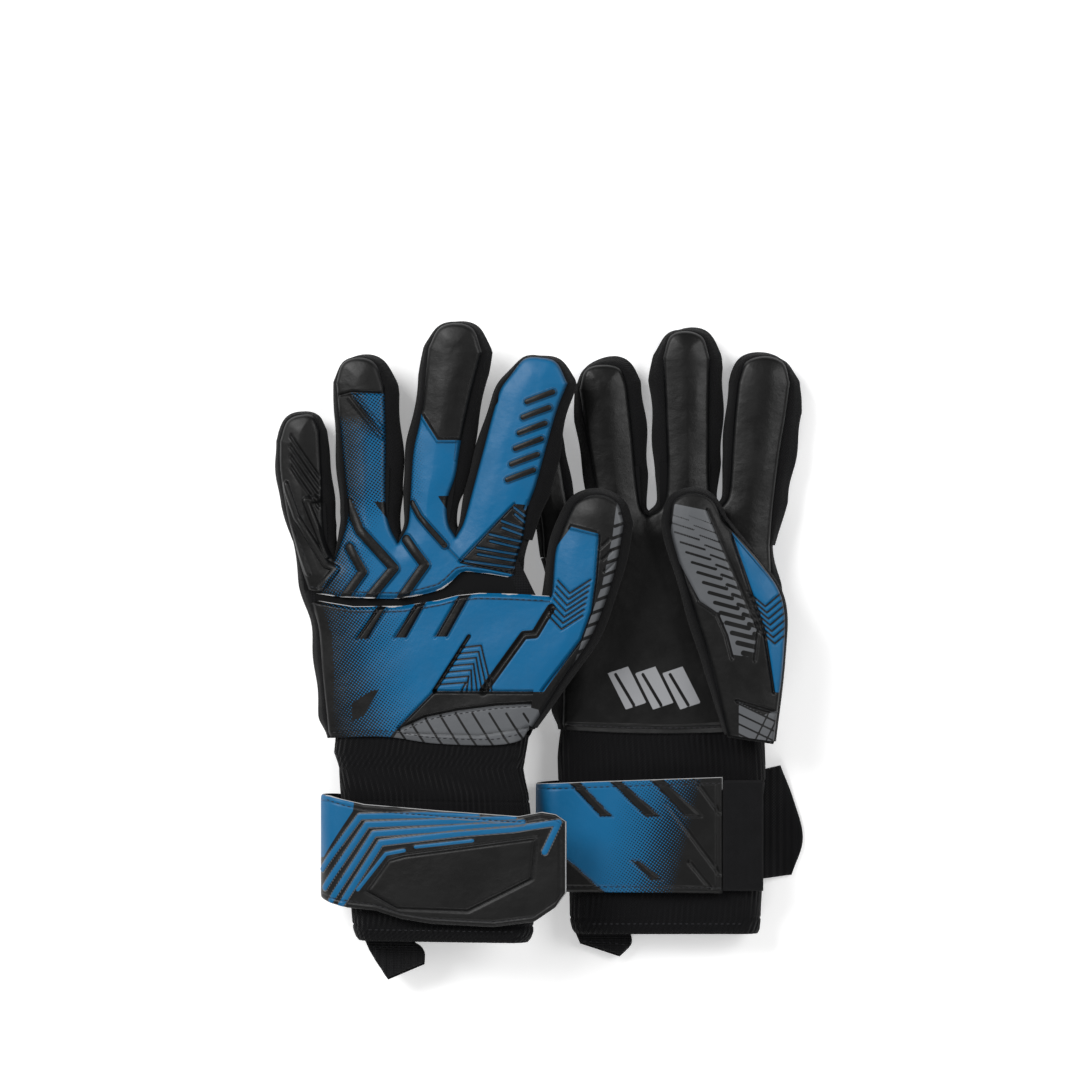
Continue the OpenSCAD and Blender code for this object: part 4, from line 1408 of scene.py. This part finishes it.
def all_stitches():
    """Every run of thread that shows: its name, the piece it lies on, its plan line and its body."""
    runs = (
        ("left_knuckle_seam", "left_upper_top_skin", LEFT,
         [[18, 29], [31.5, 27.2], [55.7, 26.6], [65.8, 28.2],
         [74.9, 30.8], [83, 37.8], [96, 37.4], [105, 35.8]], "left_hand"),
        ("left_punch_seam", "left_punch_top_skin", LEFT,
         [[20, 21.4], [36, 18.2], [58, 18.4], [74, 21], [82, 23.1],
         [91.5, 24.1], [119, 23.4]], "left_hand"),
        ("left_heel_seam", "left_punch_top_skin", LEFT, [[28, -34.9], [50, -34], [72, -36.8], [97, -37.4],
         [108, -35.4]], "left_hand"),
        ("left_patch_seam", "left_punch_top_skin", LEFT,
         [[59.6, -33.4], [70, -29], [84, -26.2], [99, -24], [112, -23]],
         "left_hand"),
        ("right_palm_seam", "right_hand_top_skin", RIGHT, [[13, -31.6], [40, -33], [70, -33], [84, -32.4]],
         "right_hand"),
        ("left_strap_hem_top", "left_strap_band_print", LEFT,
         [[26, -64.4], [42.3, -68.4], [74.4, -70.8], [110, -73],
         [126, -71.8]], "left_strap"),
        ("left_strap_hem_low", "left_strap_band_print", LEFT,
         [[27, -107], [47.3, -110.2], [58.4, -113.6], [72, -115.6],
         [99, -116.6], [116, -114.2]], "left_strap"),
        ("right_strap_hem_top", "right_strap_band_print", RIGHT, [[4, -59.6], [40, -58.4], [79, -57.2]],
         "right_strap"),
        ("right_strap_hem_low", "right_strap_band_print", RIGHT, [[13, -102.6], [60, -103], [79, -103.2]],
         "right_strap"),
        ("left_cuff_hem", "left_cuff_knit", LEFT, [[44, -121.4], [74, -121.4], [106, -121.4]], "left_hand"),
        ("right_cuff_hem", "right_cuff_knit", RIGHT, [[24, -119.4], [56, -119.4], [88, -119.4]],
         "right_hand"),
        ("left_tab_bar", "left_pull_tab_webbing_1", LEFT, [[43, -130], [60, -129.6]], "left_tab"),
        ("right_tab_bar", "right_pull_tab_webbing_1", RIGHT, [[20, -128], [37, -129.4]], "right_tab"),
    )
    for name, skin, side, line, body in runs:
        stitch(name + "_stitches", bpy.data.objects[skin], side, line, body)


# ---------------------------------------------------------------- the pair
# Heights of the knitted tubes, their wall and the ribs round them
WRIST_Z, CUFF_Z = (3.2, 17.2), (3.2, 19.0)
KNIT_WALL, KNIT_RIBS = 2.2, 70
# The bare mesh between the knuckle seam and the punch panel
MESH_TOP, MESH_THICK = 15.9, 1.0


def build_side(side):
    """One glove, but for its strap and its stitches."""
    name = SIDES[side]
    made = {}
    for digit in DIGITS:
        for top in (True, False):
            made[digit, top] = digit_skin(side, digit, top)
        digit_gusset(side, digit)
    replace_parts(made["thumb", True], name + "_thumb_root")
    if side == LEFT:
        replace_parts(hand_skin(side, True, "upper"), "left_back_upper")
        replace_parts(hand_skin(side, True, "punch"), "left_back_punch", "left_heel_patch")
        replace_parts(hand_skin(side, False, ""), "left_palm")
        grid = coons([[20, 12], [122, 12]], [[14, 40], [108, 42]], [[20, 12], [14, 40]],
                     [[122, 12], [108, 42]], 60, 160)
        falls = 2.5 * np.clip((grid[..., 0] - 108) / 14, 0, 1)
        height = MESH_TOP + 0.3 * hills(grid, 14, 2) - falls
        bare = flat_sheet("left_knuckle_mesh", side, grid, height, MESH_THICK, "mesh")
        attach(bare, "left_hand")
    else:
        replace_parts(hand_skin(side, True, ""), "right_palm")
        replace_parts(hand_skin(side, False, ""), "right_back_upper", "right_back_punch", "right_heel_patch")
    edges = [side_gusset(side, edge) for edge in ("left", "right")]
    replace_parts(edges[0], name + "_side_gusset")
    wrist = ([[-72, 29.6, 112.4], [-61.6, 29.4, 112], [-50.5, 28.8, 109.8], [-44, 26.3, 110.6],
              [-36, 27.5, 112]],
             [[-64, 9, 99.4], [-56, 8.4, 99.8], [-46, 8.6, 99.6], [-33, 9.6, 99.4]])[side]
    cuffs = ([[-126.4, 37, 112.4], [-122, 35.6, 114.4], [-112, 34.4, 115], [-72.5, 33, 112.4]],
             [[-124, 15, 97], [-118, 13.6, 98], [-105, 13, 98.4], [-64.5, 13, 98.4]])[side]
    band = tube(name + "_wrist_band_knit", side, wrist, *WRIST_Z, KNIT_WALL, MATERIALS["knit"], KNIT_RIBS,
                4 + side)
    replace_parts(band, name + "_wrist_band")
    cuff = tube(name + "_cuff_knit", side, cuffs, *CUFF_Z, KNIT_WALL, MATERIALS["knit"], KNIT_RIBS,
                8 + side)
    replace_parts(cuff, name + "_cuff")
    pull_tab(side)
    for layer in ("palm_lining", "back_lining"):
        node = frame["nodes"][name + "_" + layer]
        node.data.materials.clear()
        node.data.materials.append(MATERIALS["lining"])


build_side(LEFT)
build_side(RIGHT)
straps()
right_tail()
all_stitches()
thumb_end()


# ---------------------------------------------------------------- floor, light and camera
# Each lamp: its place, its power and its width
LAMPS = (
    ("key", (-1.1, 0.9, 1.3), 32.0, 0.9),
    ("fill", (1.2, 0.5, 1.4), 15.0, 0.9),
    ("low", (-0.2, -1.4, 1.3), 9.0, 0.8),
)
CAMERA_AT = (0.0, 0.0499, 2.02)
SENSOR, CAMERA_REACH, FRAME_WIDTH = 36, 2.0, 0.475
WORLD_LIGHT, FLOOR_GLOW = 0.22, 0.3


def stage_and_light():
    """White floor, soft lamps on three sides, and a camera straight above."""
    size = 3.0
    mesh = bpy.data.meshes.new("floor")
    mesh.from_pydata([(-size, -size, 0), (size, -size, 0), (size, size, 0), (-size, size, 0)], [],
                     [(0, 1, 2, 3)])
    floor = bpy.data.objects.new("floor", mesh)
    bpy.context.scene.collection.objects.link(floor)
    material, _, shader = new_material("floor_paper")
    shader.inputs["Base Color"].default_value = (0.93, 0.93, 0.93, 1)
    shader.inputs["Roughness"].default_value = 0.9
    shader.inputs["Emission Color"].default_value = (1, 1, 1, 1)
    shader.inputs["Emission Strength"].default_value = FLOOR_GLOW
    mesh.materials.append(material)
    world = bpy.data.worlds.new("soft_white")
    world.use_nodes = True
    back = world.node_tree.nodes["Background"]
    back.inputs["Color"].default_value = (1, 1, 1, 1)
    back.inputs["Strength"].default_value = WORLD_LIGHT
    bpy.context.scene.view_settings.view_transform = "Standard"
    bpy.context.scene.world = world
    for label, spot, power, wide in LAMPS:
        data = bpy.data.lights.new(label, "AREA")
        data.energy, data.size = power, wide
        lamp = bpy.data.objects.new(label, data)
        lamp.location = spot
        aim = -np.array(spot) / np.linalg.norm(spot)
        lamp.rotation_euler = (math.acos(-aim[2]), 0, math.atan2(-aim[0], aim[1]))
        bpy.context.scene.collection.objects.link(lamp)
    data = bpy.data.cameras.new("camera")
    data.sensor_width = SENSOR
    data.lens = SENSOR * CAMERA_REACH / FRAME_WIDTH
    camera = bpy.data.objects.new("camera", data)
    camera.location = CAMERA_AT
    bpy.context.scene.collection.objects.link(camera)
    bpy.context.scene.camera = camera


stage_and_light()
